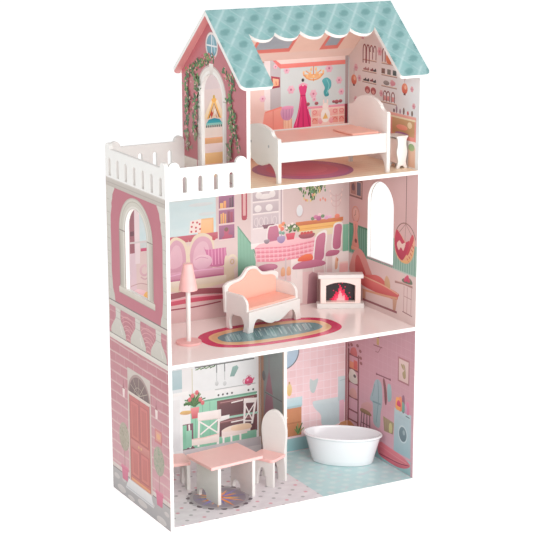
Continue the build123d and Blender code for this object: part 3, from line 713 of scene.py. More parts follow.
def wall_front(name, plane_x, out):
    """The outside of a side wall: door and lanterns, balustrade, arched window surround."""
    page = Print(name, (plane_x, house_front, 0), Y, Z, out, haze=0.15, veil=(110, 84, 66))
    page.rect(0.5, 0.5, 291.5, 50, (160, 160, 164), (176, 174, 176))
    for u, v, ru, rv in ((246, 12, 22, 8), (196, 7, 18, 5), (138, 14, 24, 7), (44, 9, 24, 8),
                         (90, 30, 14, 5), (270, 34, 15, 6), (18, 32, 12, 5), (232, 36, 10, 4)):
        page.oval(u, v, ru, rv, (196, 192, 192), (206, 203, 202))
    page.rect(0.5, 50, 291.5, 52.5, (120, 112, 112))
    page.rect(0.5, 52.5, 291.5, 62, (220, 206, 202), (226, 214, 210))
    strokes(page, range(14, 290, 34), 53, 62, 1.2, (192, 170, 170), lean=1)
    page.poly([(81, 23), (224, 23), (207, 48), (92, 48)], (214, 218, 222), (236, 238, 240))
    page.line([(84, 27), (221, 27)], 2.2, (186, 192, 198))
    page.rect(86, 48, 203, 246, (212, 190, 182), (222, 204, 198))
    page.rect(88, 243, 202, 300, (206, 192, 184), (214, 204, 196))
    page.arch(145, 246, 55, 247, 49, (150, 110, 108), (176, 150, 146))
    page.arch(145, 248, 49, 248, 42, (96, 66, 66), (122, 92, 90))
    for angle in (25, 52, 90, 128, 155):
        a = math.radians(angle)
        page.line([(145, 250), (145 + 47 * math.cos(a), 250 + 39 * math.sin(a))], 1.6, (178, 164, 148))
    page.ring(145, 250, 24, 18, 1.6, (168, 150, 138), 0, 180)
    page.rect(88, 243, 202, 249, (224, 206, 198), (236, 224, 214))
    page.rect(95, 50, 194, 242, (200, 98, 84), (202, 96, 94))
    for low_u, high_u in ((101, 142), (148, 189)):
        for low_v, high_v in ((62, 126), (146, 232)):
            page.rect(low_u, low_v, high_u, high_v, (172, 76, 70), (180, 80, 80))
            page.rect(low_u + 3, low_v + 3, high_u - 2, high_v - 2, (208, 110, 98), (212, 108, 104))
            page.rect(low_u + 9, low_v + 9, high_u - 8, high_v - 8, (196, 92, 82), (204, 98, 94))
            for k in range(3):
                u = low_u + 13 + k * 8
                page.line([(u, low_v + 10), (u + 1, high_v - 9)], 1.3, (180, 96, 88))
    page.rect(143.5, 52, 146, 241, (160, 78, 78))
    page.rect(97, 128, 192, 144, (198, 112, 104), (212, 128, 120))
    page.oval(139, 136, 3.2, 3.2, (226, 176, 110))
    page.oval(151, 136, 3.2, 3.2, (226, 176, 110))
    page.rect(97, 51, 192, 57, (222, 140, 84), (230, 156, 100))
    page.line([(94, 50), (94, 243)], 2.0, (150, 84, 78))
    page.line([(195, 50), (195, 243)], 2.0, (150, 84, 78))
    for u in (224, 60):
        page.line([(u, 266), (u, 256)], 1.6, (150, 92, 100))
        page.poly([(u - 6, 246), (u + 6, 246), (u + 2, 257), (u - 2, 257)], (176, 98, 112))
        page.poly([(u - 4.5, 226), (u + 4.5, 226), (u + 6, 246), (u - 6, 246)],
                  (250, 222, 224), (252, 236, 232))
        page.rect(u - 4, 223, u + 4, 226, (196, 140, 146))
    page.rect(35, 175, 70, 205, (200, 104, 112), (212, 124, 126))
    page.rect(40, 180, 65, 200, (222, 150, 130), (228, 160, 140))
    page.oval(52, 190, 8, 6, (236, 172, 120))
    dice = random.Random(7)
    for u, greens in ((226, ((170, 160, 140), (152, 144, 124), (186, 174, 156))),
                      (52, ((160, 162, 142), (132, 156, 130), (176, 172, 152)))):
        page.rect(u - 1.8, 68, u + 1.8, 112, (184, 132, 132))
        page.oval(u, 137, 26, 32, greens[0], (178, 170, 150))
        for _ in range(70):
            angle, reach = dice.uniform(0, ROUND), math.sqrt(dice.random())
            page.oval(u + 24 * reach * math.cos(angle), 137 + 30 * reach * math.sin(angle),
                      dice.uniform(2.5, 4.5), dice.uniform(1.4, 2.4), dice.choice(greens),
                      turn=dice.uniform(0, 180), count=7)
        page.poly([(u - 13, 38), (u + 13, 38), (u + 17, 64), (u - 17, 64)], (206, 88, 128), (220, 110, 146))
        page.rect(u - 19, 62, u + 19, 71, (210, 96, 134), (228, 130, 158))
    page.rect(0.5, 345, 291.5, 355.5, (226, 218, 210), (240, 236, 228))
    page.rect(0.5, 355.5, 291.5, 358, (140, 134, 128))
    page.rect(0.5, 418, 291.5, 429, (208, 198, 190), (218, 210, 202))
    page.rect(0.5, 429, 291.5, 431.5, (112, 96, 98))
    for centre in (93, 193):
        for k in range(6):
            page.ring(centre, 350, 12 + 9 * k, 12 + 9.5 * k, 1.8, (226, 160, 164), 25, 155)
    for centre in (43, 143, 243):
        page.poly(smooth([
            (centre - 13, 418), (centre - 12, 402), (centre - 14, 394), (centre - 24, 384),
            (centre - 35, 372), (centre - 38, 364), (centre - 37, 358),
        ], closed=False) + smooth([
            (centre + 37, 358), (centre + 38, 364), (centre + 35, 372), (centre + 24, 384),
            (centre + 14, 394), (centre + 12, 402), (centre + 13, 418),
        ], closed=False), (206, 202, 192), (222, 218, 210))
        page.line([(centre - 15, 396), (centre + 15, 396)], 1.6, (186, 180, 172))
        page.line([(centre - 12, 411), (centre + 12, 411)], 1.4, (192, 186, 178))
        page.line([(centre - 20, 365), (centre - 10, 381)], 3.0, (232, 229, 222))
    half = [(0.5, 358), (0.5, 418), (4, 418), (4, 402), (5, 394), (3, 380), (1, 370)]
    page.poly(half, (206, 202, 192), (222, 218, 210))
    page.poly([(292 - u, v) for u, v in half], (206, 202, 192), (222, 218, 210))
    near = [(0.5, 431.5), (32, 431.5), (29, 446), (22, 458), (20, 474), (17, 496), (18, 540),
            (17, 590), (18, 616), (24, 634), (23, 642), (28, 652), (30, 662), (40, 674), (41, 677),
            (0.5, 677)]
    page.poly(near, (206, 204, 194), (222, 219, 211))
    page.poly([(288 - u, v) if u > 1 else (291.5, v) for u, v in near], (206, 204, 194), (222, 219, 211))
    for side in (0, 1):
        for v in range(452, 676, 28):
            a, b = (1, 17) if side == 0 else (274, 291)
            page.line([(a, v), (b, v)], 1.3, (190, 186, 176))
            page.line([(a + 4, v + 3), (a + 4, v + 25)], 1.2, (230, 228, 221))
    page.arch_frame(145, 470, 53, 83, 593, 57, 79, (200, 193, 180), (222, 219, 208))
    page.arch_frame(145, 472, 57, 62, 593, 58, 62, (236, 233, 224), (238, 236, 228))
    page.arch_frame(145, 474, 72, 74, 593, 70, 72, (186, 178, 164), (196, 190, 176))
    page.arch_frame(145, 474, 80, 83, 593, 76.5, 79, (176, 160, 150), (200, 190, 180))
    page.rect(62, 474, 68, 590, (172, 156, 146), (180, 166, 156))
    page.rect(222, 474, 228, 590, (160, 148, 138), (172, 160, 150))
    page.line([(62, 593), (91, 593)], 2.4, (146, 132, 124))
    page.line([(199, 593), (228, 593)], 2.4, (146, 132, 124))
    page.rect(56, 457, 234, 470, (210, 200, 186), (228, 222, 210))
    page.line([(56, 457), (234, 457)], 1.6, (170, 148, 140))
    page.line([(56, 471), (92, 471)], 1.4, (170, 150, 142))
    page.rect(0.5, 677, 291.5, 695, (196, 188, 180), (210, 204, 197))
    page.rect(0.5, 684, 291.5, 686, (182, 174, 166))
    page.rect(0.5, 693, 291.5, 695, (226, 222, 216))
    page.done()


wall_front("left_wall_picture", house_left, -X)
wall_front("right_wall_picture", house_right, X)


def round_window(page):
    """A blue round window with white glazing bars, high in a gable."""
    page.oval(150, 971, 28, 28, (222, 208, 202), (238, 230, 224), count=36)
    page.oval(150, 971, 23, 23, (82, 140, 158), (128, 176, 190), count=36)
    page.poly([(132, 962), (142, 990), (150, 991), (138, 956)], (158, 196, 206))
    page.rect(148.3, 948, 151.7, 994, (226, 232, 234))
    page.rect(127, 969.3, 173, 972.7, (226, 232, 234))
    page.ring(150, 971, 28, 28, 1.4, (188, 156, 156))


def far_gable_picture():
    """The right gable's outside: a round window and a stone course."""
    page = Print("far_gable_picture", (house_right, house_front, 0), Y, Z, X)
    page.rect(0.5, 700, 291.5, 718, (222, 210, 202), (232, 222, 214))
    round_window(page)
    page.done()


far_gable_picture()


def gable_picture():
    """The attic's outer wall: stone door frame, round window, rambling roses."""
    page = Print("gable_picture", (attic_left, house_front, 0), Y, Z, -X)
    page.rect(224, 700, 290, 724, (226, 216, 206), (236, 228, 218))
    page.rect(9, 700, 84, 718, (222, 210, 202), (232, 222, 214))
    page.line([(224, 724), (290, 724)], 1.5, (190, 160, 156))
    page.arch_frame(153.5, 700, 48.5, 67, 864.5, 48.5, 66, (218, 204, 198), (236, 228, 220))
    page.arch_frame(153.5, 700, 49, 55, 864.5, 49, 55, (240, 234, 228), (244, 240, 234))
    page.arch_frame(153.5, 700, 63.5, 67, 864.5, 62.5, 66, (184, 158, 156), (204, 184, 178))
    for side in (-1, 1):
        page.rect(153.5 + side * 60 - 7, 700, 153.5 + side * 60 + 7, 724, (210, 196, 190), (226, 216, 210))
        page.line([(153.5 + side * 52, 862), (153.5 + side * 66, 862)], 1.6, (180, 156, 152))
    page.poly([(147, 911), (160, 911), (163, 934), (144, 934)], (220, 208, 200), (240, 234, 226))
    round_window(page)
    dice = random.Random(21)
    leaf_run(page, [(142, 946), (160, 948), (180, 938), (205, 930), (228, 922), (250, 914)], dice, 7)
    leaf_run(page, [(250, 914), (266, 896), (268, 870), (262, 845), (266, 815), (270, 785), (262, 745)],
             dice, 8, fade=790)
    leaf_run(page, [(222, 918), (219, 890), (224, 860), (222, 830), (226, 805), (228, 775)],
             dice, 8, fade=790)
    leaf_run(page, [(94, 934), (92, 918), (72, 912), (58, 924)], dice, 6)
    leaf_run(page, [(64, 914), (66, 890), (72, 868), (62, 848), (66, 826), (60, 800), (70, 775), (74, 745)],
             dice, 8, fade=790)
    leaf_run(page, [(44, 850), (50, 825), (40, 795), (38, 770)], dice, 6, every=7, fade=790)
    page.done()


gable_picture()


def attic_right_picture():
    """Shoe shelves, lanterns and the end of a dressing table."""
    plane = house_right - BOARD
    page = Print("attic_right_picture", (plane, house_front, 0), Y, Z, -X)
    blossoms(page, (
        (30, 868, 7), (22, 833, 7), (60, 893, 9), (158, 935, 10), (228, 962, 8),
        (240, 868, 8), (255, 890, 9), (150, 845, 8), (108, 872, 8), (255, 820, 7),
    ), (226, 166, 178), (232, 184, 190), (206, 120, 140), 0.3)
    for left, right in ((88, 150), (170, 228)):
        for v in (911, 886, 862, 827):
            page.rect(left, v, right, v + 1.8, (218, 190, 168), (232, 208, 188))
            page.rect(left, v - 1.2, right, v, (150, 112, 106))
    dark, wine = (74, 58, 60), (140, 62, 68)
    for u in (178, 192):
        page.line([(u - 5, 914), (u - 5, 938), (u, 944), (u + 5, 938), (u + 4, 930)],
                  3.0, wine, curved=True)
    for u in (206, 220):
        page.line([(u - 5.5, 904), (u - 5.5, 936), (u, 944), (u + 5.5, 936), (u + 5.5, 904)],
                  3.4, wine, curved=True)
    page.line([(136, 914), (136, 936), (141, 943), (147, 936), (147, 914)], 3.0, wine, curved=True)
    page.blob([(112, 913), (128, 913), (133, 925), (126, 936), (118, 937), (111, 926)],
              (220, 118, 84), (236, 150, 104))
    page.oval(103, 917, 6, 5, (226, 130, 96))
    for u, colour in ((98, (66, 84, 84)), (120, (120, 116, 110)), (143, (120, 84, 76))):
        page.rect(u - 7, 889, u + 7, 900, colour, [c + 20 for c in colour])
    tan = (176, 116, 112)
    for u, v, colour in ((178, 889, dark), (190, 889, wine), (207, 889, tan), (218, 889, tan),
                         (178, 865, dark), (190, 866, wine), (206, 865, dark), (218, 865, dark)):
        page.blob([(u - 6, v), (u + 6, v), (u + 5, v + 3), (u, v + 4), (u - 4, v + 7), (u - 6, v + 5)],
                  colour)
    page.oval(103, 872, 9, 5, (214, 132, 146), (226, 160, 170))
    page.oval(130, 870, 12, 5, (134, 128, 124), (168, 160, 154))
    for u in (103, 122, 135):
        page.line([(u - 6, 830), (u - 6, 846), (u, 852), (u + 6, 846), (u + 6, 830)],
                  2.6, wine, curved=True)
        page.rect(u - 4, 832, u + 4, 842, (222, 140, 140), (232, 160, 156))
    for u in (182, 206):
        page.oval(u, 846, 11, 8, (166, 60, 66), (198, 96, 96))
        page.oval(u, 843, 6, 4, (226, 160, 150))
    for u, v in ((58, 866), (263, 862)):
        page.line([(u, v + 26), (u, v + 12)], 1.2, (150, 100, 96))
        page.oval(u, v, 11.5, 11.5, (214, 84, 66), (244, 156, 120), count=20)
        page.oval(u - 3, v + 3, 4.5, 4.5, (250, 190, 160), count=12)
        page.rect(u - 4, v - 14, u + 4, v - 10, (110, 54, 52))
    page.rect(12, 757, 124, 808, (230, 138, 128), (244, 172, 160))
    page.rect(18, 766, 104, 800, (198, 152, 108), (214, 172, 128))
    page.rect(14, 800, 114, 806, (246, 230, 196), (250, 238, 212))
    page.oval(66, 782, 22, 6, (248, 150, 126), (252, 172, 148))
    page.oval(36, 790, 9, 7, (240, 214, 170), (246, 226, 190))
    page.oval(66, 768, 26, 4, (176, 110, 160))
    page.rect(12, 804, 126, 810, (240, 172, 160), (248, 190, 176))
    for u, size, colour in ((28, 9, (110, 92, 80)), (44, 7, (200, 84, 84)), (60, 11, (120, 96, 92)),
                            (74, 8, (170, 140, 156)), (88, 12, (150, 128, 140)), (98, 6, (90, 70, 72))):
        page.oval(u, 811 + size * 0.6, 3.6, size * 0.7, colour, lighter(colour, 30), count=12)
    page.rect(12, 700, 124, 757, (240, 226, 220), (246, 236, 230))
    page.rect(14, 702, 40, 744, (224, 178, 152), (232, 190, 166))
    page.oval(28, 744, 12, 8, (168, 190, 128), (146, 176, 132))
    page.rect(88, 703, 112, 748, (244, 160, 140), (240, 140, 164))
    page.line([(44, 703), (44, 752)], 1.4, (214, 196, 190))
    page.line([(84, 703), (84, 752)], 1.4, (214, 196, 190))
    page.rect(282, 760, 290.5, 806, (110, 30, 46), (130, 36, 52))
    page.done()


attic_right_picture()


def attic_back_picture():
    """Crown moulding, coral cupboards, a display form in a long dress, chandelier, dressing table."""
    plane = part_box("back_panel_attic")[0].y
    page = Print("attic_back_picture", (house_left, plane, 0), X, Z, -Y)
    left = attic_left * 1000 - house_left * 1000 + 9
    page.rect(left, 700, 280, 760, (232, 182, 160), (240, 196, 176))
    page.rect(320, 762, 391, 900, (238, 196, 184), (240, 214, 206))
    page.rect(left, 860, 280, 900, (214, 200, 202), (218, 206, 208))
    page.rect(left, 776, 280, 862, (238, 224, 214), (222, 206, 204))
    page.poly([(226, 798), (280, 798), (262, 838), (246, 838)], (248, 226, 190), (250, 236, 214))
    page.poly([(236, 798), (270, 798), (253, 846)], (244, 186, 96), (250, 206, 120))
    page.poly([(240, 798), (266, 798), (253, 834)], (240, 220, 200), (236, 196, 150))
    page.line([(241, 800), (253, 831), (265, 800)], 1.8, (120, 60, 50))
    page.line([(246, 799), (253, 815), (260, 799)], 1.6, (206, 120, 60))
    page.oval(247, 808, 3, 6, (206, 80, 60))
    page.oval(255, 812, 2.4, 7, (250, 240, 234))
    page.oval(253, 838, 6, 5, (246, 186, 80))
    page.oval(253, 845, 2.6, 4, (206, 170, 70))
    page.poly([(234, 788), (272, 788), (266, 796), (253, 799), (240, 796)], (60, 182, 190), (40, 146, 176))
    page.rect(233, 784, 273, 788.5, (150, 214, 206))
    for u in range(235, 274, 5):
        page.oval(u, 781.5, 1.7, 3.2, (60, 110, 110), count=8)
    page.rect(left, 754, 275, 757, (240, 176, 130))
    page.rect(left, 744, 275, 754, (214, 160, 112), (226, 172, 124))
    page.rect(left, 724, 275, 744, (240, 224, 226), (236, 216, 214))
    page.rect(left, 757, 275, 779, (240, 224, 216), (246, 236, 228))
    page.rect(left, 700, 275, 724, (240, 196, 140), (248, 210, 156))
    page.poly([(370, 735), (592, 735), (592, 762), (370, 762)], (238, 158, 142), (244, 176, 160))
    page.rect(376, 806, 391, 924, (238, 226, 224), (240, 228, 226))
    page.rect(391, 804, 417, 922, (190, 182, 184), (200, 194, 196))
    blossoms(page, (
        (443, 847, 10), (372, 832, 8), (540, 888, 10), (566, 860, 9), (572, 834, 8), (500, 834, 10),
        (502, 822, 6), (432, 890, 8), (300, 870, 9), (330, 830, 9), (300, 790, 8), (404, 900, 6),
    ), (232, 176, 194), (240, 196, 208), (206, 120, 150), 0.28)
    page.poly([(392, 922), (416, 905), (586, 905), (586, 922)], (252, 222, 212), (254, 232, 224))
    page.poly([(416, 895), (586, 895), (586, 904.5), (417, 904.5)], (240, 126, 116), (246, 140, 128))
    page.poly([(389, 922), (394, 922), (418, 904), (416, 895), (411, 899)], (238, 122, 114))
    page.poly([(393, 880), (415, 876), (415, 854), (395, 852)], (160, 44, 62), (176, 56, 72))
    page.poly([(397, 875), (412, 872), (412, 858), (398, 857)], (248, 170, 130), (252, 196, 160))
    page.line([(405, 868), (406, 860)], 2.0, (206, 96, 80))
    page.poly([(370, 762), (424, 762), (424, 806), (418, 809), (376, 800)],
              (240, 142, 128), (246, 168, 152))
    page.line([(378, 801), (418, 810), (425, 806)], 3.0, (248, 140, 124))
    page.line([(398, 762), (398, 804)], 1.4, (222, 120, 110))
    page.line([(424, 762), (424, 806)], 1.6, (206, 96, 92))
    page.rect(424, 762, 446, 784, (244, 190, 160), (248, 204, 176))
    strokes(page, (428, 436, 444), 762, 782, 1.2, (226, 150, 120))
    page.blob([(417, 802), (420, 786), (430, 780), (442, 782), (449, 796), (448, 806), (433, 810)],
              (206, 140, 178), (226, 170, 200))
    for u in (424, 431, 438, 444):
        page.line([(u, 784), (u + (u - 433) * 0.15, 806)], 1.2, (186, 118, 160))
    page.oval(434, 808, 16, 4, (238, 150, 190), (246, 180, 208))
    magenta, deep = (222, 50, 116), (182, 26, 84)
    page.blob([(463, 853), (473, 855), (483, 853), (482, 842), (480, 832), (485, 808), (492, 784),
              (502, 762), (490, 757), (476, 756), (462, 757), (449, 762), (457, 784), (463, 808),
              (466, 832), (464, 842)], magenta, (226, 66, 128))
    for u0, u1 in ((470, 460), (473, 474), (477, 490)):
        page.line([(u0, 832), ((u0 + u1) / 2, 798), (u1, 762)], 2.8, deep, magenta, curved=True)
    page.line([(469, 828), (464, 800), (455, 766)], 2.0, (240, 110, 156), curved=True)
    page.line([(466, 832), (480, 832)], 1.6, deep)
    page.rect(470.5, 853, 475.5, 861, (236, 208, 196))
    page.oval(473, 866, 3.6, 4, (60, 52, 56), count=10)
    page.line([(463, 854), (473, 858), (484, 854)], 4.0, (244, 170, 196), curved=True)
    gold = (232, 158, 98)
    page.poly([(482, 868), (518, 868), (526, 878), (474, 878)], (238, 190, 140), (240, 176, 120))
    page.line([(474, 878), (486, 868), (500, 865), (514, 868), (526, 878)], 3.0, gold, curved=True)
    page.line([(480, 886), (492, 878), (500, 876), (508, 878), (520, 886)],
              2.6, (240, 172, 112), curved=True)
    page.line([(500, 862), (500, 896)], 2.4, (222, 142, 92))
    dots(page, ((475, 882), (484, 874), (492, 880), (500, 872), (508, 880), (516, 874), (525, 882),
         (494, 889), (506, 889)), 2.6, 4.4, (246, 180, 110), (252, 214, 160), count=9)
    page.blob([(522, 862), (534, 868), (545, 860), (545, 846), (538, 838), (540, 828), (530, 826),
              (526, 836), (529, 846)], (56, 146, 152), (92, 184, 188))
    page.line([(534, 864), (540, 850), (534, 832)], 2.2, (130, 206, 206), curved=True)
    page.rect(484, 801, 582, 806, (240, 150, 170), (248, 176, 190))
    page.rect(494, 758, 582, 801, (250, 208, 196), (252, 218, 208))
    for low, high in ((497, 512), (548, 564), (566, 580)):
        page.rect(low, 766, high, 780, (240, 158, 146), (244, 170, 156))
        page.rect(low, 783, high, 797, (244, 176, 164), (248, 190, 178))
    for u, v, size in ((486, 812, 5), (508, 812, 5), (560, 812, 6), (570, 813, 5), (552, 813, 4)):
        page.oval(u, v, size, size * 0.8, (120, 64, 70), (206, 110, 120), count=12)
    for u in (518, 546):
        page.oval(u, 790, 7, 8, (246, 178, 170), (250, 200, 190))
        page.oval(u, 772, 6, 7, (240, 150, 160), (248, 190, 190))
    for u in (503, 556, 573):
        page.ring(u, 792, 5, 4, 1.6, (236, 120, 130))
        page.line([(u - 6, 772), (u, 778), (u + 6, 772)], 1.8, (226, 110, 110), curved=True)
    page.oval(531, 784, 12, 16, (250, 238, 230), (252, 244, 238))
    page.oval(531, 804, 8, 8, (250, 236, 228))
    for u in (526, 536):
        page.oval(u, 814, 2.2, 6, (248, 226, 218), count=10)
    page.poly([(524, 776), (538, 776), (531, 790)], (240, 190, 110))
    page.rect(581, 762, 589, 806, (110, 30, 46), (134, 40, 56))
    page.rect(582, 806, 590, 922, (176, 158, 158), (186, 170, 170))
    page.line([(548, 756), (592, 740)], 1.8, (220, 120, 104))
    page.done()


attic_back_picture()


def dining_chair(page, back, seat, legs):
    """A printed chair with a mauve back and seat in a white frame."""
    for a, b in legs:
        page.line([a, b], 3.0, (236, 226, 224))
    page.blob(back, (232, 222, 220), (246, 240, 238))
    cu = sum(p[0] for p in back) / len(back)
    cv = sum(p[1] for p in back) / len(back)
    page.blob([(cu + (u - cu) * 0.78, cv + (v - cv) * 0.84) for u, v in back],
              (176, 88, 124), (198, 112, 144))
    page.blob(seat, (170, 84, 118), (192, 104, 138))


def parlour_back_picture():
    """Drawing room at the left; dresser, table and mantel shelf at the right."""
    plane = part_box("back_panel_middle")[0].y
    page = Print("parlour_back_picture", (house_left, plane, 0), X, Z, -Y, haze=0.2, veil=(140, 112, 100))
    page.rect(9, 356, 591, 432, (224, 184, 186), (230, 194, 196))
    page.rect(9, 432, 60, 690, (228, 204, 216), (226, 208, 220))
    page.rect(46, 524, 57, 640, (150, 84, 100), (140, 74, 92))
    page.rect(47, 562, 56, 572, (90, 40, 60))
    page.rect(58, 500, 69, 690, (236, 222, 228), (240, 230, 234))
    page.rect(70, 533, 140, 549, (200, 214, 216))
    page.rect(71, 526, 91, 533, (190, 50, 100), (206, 70, 116))
    page.ring(79, 484, 9, 11, 5, (214, 170, 184), top=(226, 190, 200))
    page.line([(70, 470), (80, 464), (90, 470)], 3.0, (206, 166, 176), curved=True)
    page.line([(46, 452), (70, 456), (92, 448)], 2.0, (196, 158, 160), curved=True)
    page.blob([(46, 430), (60, 444), (76, 440), (92, 430), (92, 416), (46, 416)],
              (244, 190, 204), (250, 214, 222))
    page.blob([(74, 424), (82, 436), (92, 430), (96, 418), (84, 414)], (244, 176, 84), (250, 200, 110))
    page.rect(9, 545, 252, 549, (214, 208, 210))
    for u, v, ru, rv in ((170, 630, 40, 5), (216, 614, 30, 4), (226, 650, 26, 5), (180, 668, 36, 4),
                         (230, 592, 20, 4)):
        page.oval(u, v, ru, rv, (210, 224, 226), (218, 230, 232))
    page.rect(208, 545, 246, 582, (238, 168, 104), (250, 194, 130))
    page.rect(211, 548, 243, 579, (246, 184, 122), (252, 204, 146))
    page.poly([(186, 552), (214, 552), (216, 582), (190, 580)], (248, 228, 220), (252, 238, 230))
    dots(page, ((192, 556), (203, 556), (193, 567), (203, 564), (213, 560), (196, 576), (206, 575),
         (212, 571)), 2.6, 2.4, (196, 60, 70), count=9)
    page.rect(140, 534, 256, 549, (176, 62, 84), (196, 84, 104))
    gold, deep = (222, 206, 178), (198, 132, 158)
    page.blob([(132, 430), (132, 520), (150, 548), (176, 536), (184, 520), (198, 545), (222, 550),
              (244, 536), (250, 508), (276, 508), (276, 470), (282, 450), (272, 432)],
              gold, (232, 216, 190))
    page.blob([(134, 470), (136, 520), (152, 541), (170, 532), (178, 505), (172, 472)],
              deep, (216, 164, 184))
    page.blob([(190, 470), (188, 510), (200, 536), (220, 543), (238, 532), (244, 506), (242, 470)],
              deep, (218, 166, 186))
    page.blob([(140, 480), (142, 515), (154, 530), (166, 520), (168, 486)],
              (216, 164, 184), (224, 180, 196))
    page.blob([(198, 482), (197, 508), (206, 526), (220, 532), (232, 522), (234, 488)],
              (218, 166, 186), (226, 182, 198))
    page.blob([(222, 520), (228, 512), (272, 512), (276, 508), (274, 474), (236, 474), (228, 500)],
              (186, 88, 140), (206, 108, 158))
    strokes(page, range(234, 276, 8), 476, 512, 2.0, (228, 150, 188), lean=-1)
    page.blob([(196, 492), (204, 500), (216, 502), (230, 500), (240, 492), (238, 478), (216, 468),
              (198, 478)], (208, 152, 178), (228, 188, 202))
    page.line([(200, 492), (214, 497), (232, 492)], 1.4, (196, 124, 160), curved=True)
    page.poly([(134, 450), (274, 450), (270, 470), (134, 470)], (192, 112, 146), (214, 156, 180))
    page.line([(136, 462), (196, 468), (268, 466)], 2.0, (226, 172, 208), curved=True)
    page.line([(134, 452), (272, 452)], 3.0, (178, 90, 134))
    page.ring(291, 478, 11, 14, 5.5, gold, 0, 360, top=(236, 222, 198))
    page.ring(291, 478, 4, 5, 3.0, (206, 176, 140))
    page.blob([(272, 432), (272, 486), (280, 492), (286, 470), (294, 462), (296, 440), (290, 430)],
              (214, 196, 168), (230, 216, 194))
    page.rect(134, 436, 276, 450, (220, 204, 184), (236, 224, 208))
    page.poly([(176, 470), (184, 540), (190, 470)], gold, (230, 216, 190))
    page.rect(256, 528, 300, 690, (226, 196, 200), (234, 206, 210))
    for v0, v1 in ((531, 562), (566, 596), (600, 628), (632, 660), (664, 688)):
        page.rect(259, v0, 297, v1, (136, 76, 118), (166, 100, 140))
        page.rect(259, v0 - 2, 297, v0, (240, 214, 214))
    blocks(page, (
        (263, 566, 4, 22, BRASS), (268, 566, 4, 24, (238, 156, 78)), (273, 566, 4, 21, BRASS),
        (280, 566, 6, 26, (120, 40, 66)), (287, 566, 6, 24, (150, 50, 80)),
        (262, 600, 8, 12, (240, 176, 90)), (271, 600, 6, 16, (232, 150, 80)),
        (285, 600, 5, 22, (90, 50, 70)),
        (291, 600, 4, 24, (70, 46, 60)), (266, 632, 9, 14, (206, 92, 110)), (282, 632, 9, 18, BRASS),
        (264, 664, 5, 18, (90, 130, 130)), (270, 664, 5, 20, (206, 92, 110)), (284, 664, 8, 12, BRASS),
    ), 22)
    page.blob([(266, 532), (288, 532), (292, 538), (282, 541), (284, 550), (277, 556), (271, 548),
              (272, 540)], (176, 60, 96), (196, 84, 116))
    page.oval(277, 552, 5, 5, (120, 84, 70), count=12)
    page.blob([(243, 532), (250, 532), (250, 540), (243, 540)], (186, 60, 80))
    page.rect(315, 574, 329, 690, (172, 40, 66), (196, 60, 84))
    page.rect(318.5, 578, 325.5, 690, (226, 170, 170), (236, 190, 190))
    page.oval(322, 572, 6.5, 4.5, (172, 44, 66))
    page.poly([(305, 556), (342, 508), (350, 470), (348, 440), (326, 436), (305, 430)],
              (104, 164, 140), (136, 198, 170))
    page.line([(305, 556), (342, 508), (350, 484)], 2.6, (98, 158, 132))
    for u, v in ((312, 545), (320, 535), (328, 525), (336, 514), (343, 500)):
        page.line([(u, v), (u + 1, 440)], 1.0, (108, 170, 146))
    page.rect(338, 512, 413, 690, (232, 220, 222), (242, 234, 234))
    for v0, v1 in ((547, 576), (580, 603), (607, 632), (636, 662), (665, 688)):
        page.rect(343, v0, 408, v1, (192, 178, 186), (212, 200, 206))
        page.rect(343, v0 - 2.4, 408, v0, (250, 244, 242))
    for u in (354, 372, 390):
        page.rect(u - 1, 547, u + 1, 572, (222, 212, 216))
    for u, v, ru, rv in ((356, 590, 9, 8), (384, 590, 9, 8), (375, 616, 19, 6), (358, 620, 8, 8),
                         (392, 620, 8, 8), (360, 646, 10, 8), (388, 646, 10, 8)):
        page.oval(u, v, ru, rv, (238, 232, 232), (252, 250, 248))
    for u in (352, 364, 376, 398):
        page.ring(u, 560, 5, 9, 1.6, (230, 222, 224))
    page.poly([(366, 552), (398, 552), (394, 543), (371, 543)], (110, 66, 84), (134, 88, 104))
    page.rect(338, 500, 413, 512, (238, 230, 230), (250, 246, 244))
    page.rect(413, 500, 417, 690, (188, 166, 174), (198, 178, 186))
    page.rect(417, 500, 420, 690, (246, 232, 232))
    dice = random.Random(11)
    for _ in range(210):
        u = dice.gauss(494, 26)
        reach = max(0.0, 1 - abs(u - 494) / 60)
        v = 648 - (648 - 596) * reach * dice.random() ** 1.3
        if 440 < u < 552:
            page.oval(u, v, dice.uniform(3, 6.4), dice.uniform(1.2, 2.4),
                      dice.choice(LEAVES + ((188, 204, 150),)), turn=dice.uniform(60, 120), count=8)
    for _ in range(22):
        u = dice.uniform(462, 530)
        page.oval(u, dice.uniform(592, 626), 2.2, 3.6, dice.choice(((236, 206, 130), (232, 140, 120),
                  (90, 146, 96))), count=8)
    page.oval(462, 575, 11, 16, (206, 178, 178), (224, 200, 200))
    page.oval(462, 575, 8, 13, (222, 232, 238), (244, 248, 250))
    page.line([(557, 548), (557, 604)], 2.2, (216, 176, 176))
    for rise in (0, 1, 2):
        v = 575 + rise * 12
        page.line([(545 - rise * 2, v + 10), (549, v + 2), (557, v), (565, v + 2),
                  (569 + rise * 2, v + 10)], 1.6, (216, 178, 178), curved=True)
        page.oval(545 - rise * 2, v + 13, 1.6, 3.4, (246, 214, 206), count=8)
        page.oval(569 + rise * 2, v + 13, 1.6, 3.4, (246, 214, 206), count=8)
    page.rect(452, 540, 576, 549, (200, 104, 58), (216, 122, 70))
    page.rect(458, 527, 572, 540, (240, 176, 84), (246, 190, 100))
    page.line([(458, 532), (572, 532)], 1.2, (222, 146, 70))
    page.rect(462, 512, 568, 527, (226, 214, 176), (234, 222, 190))
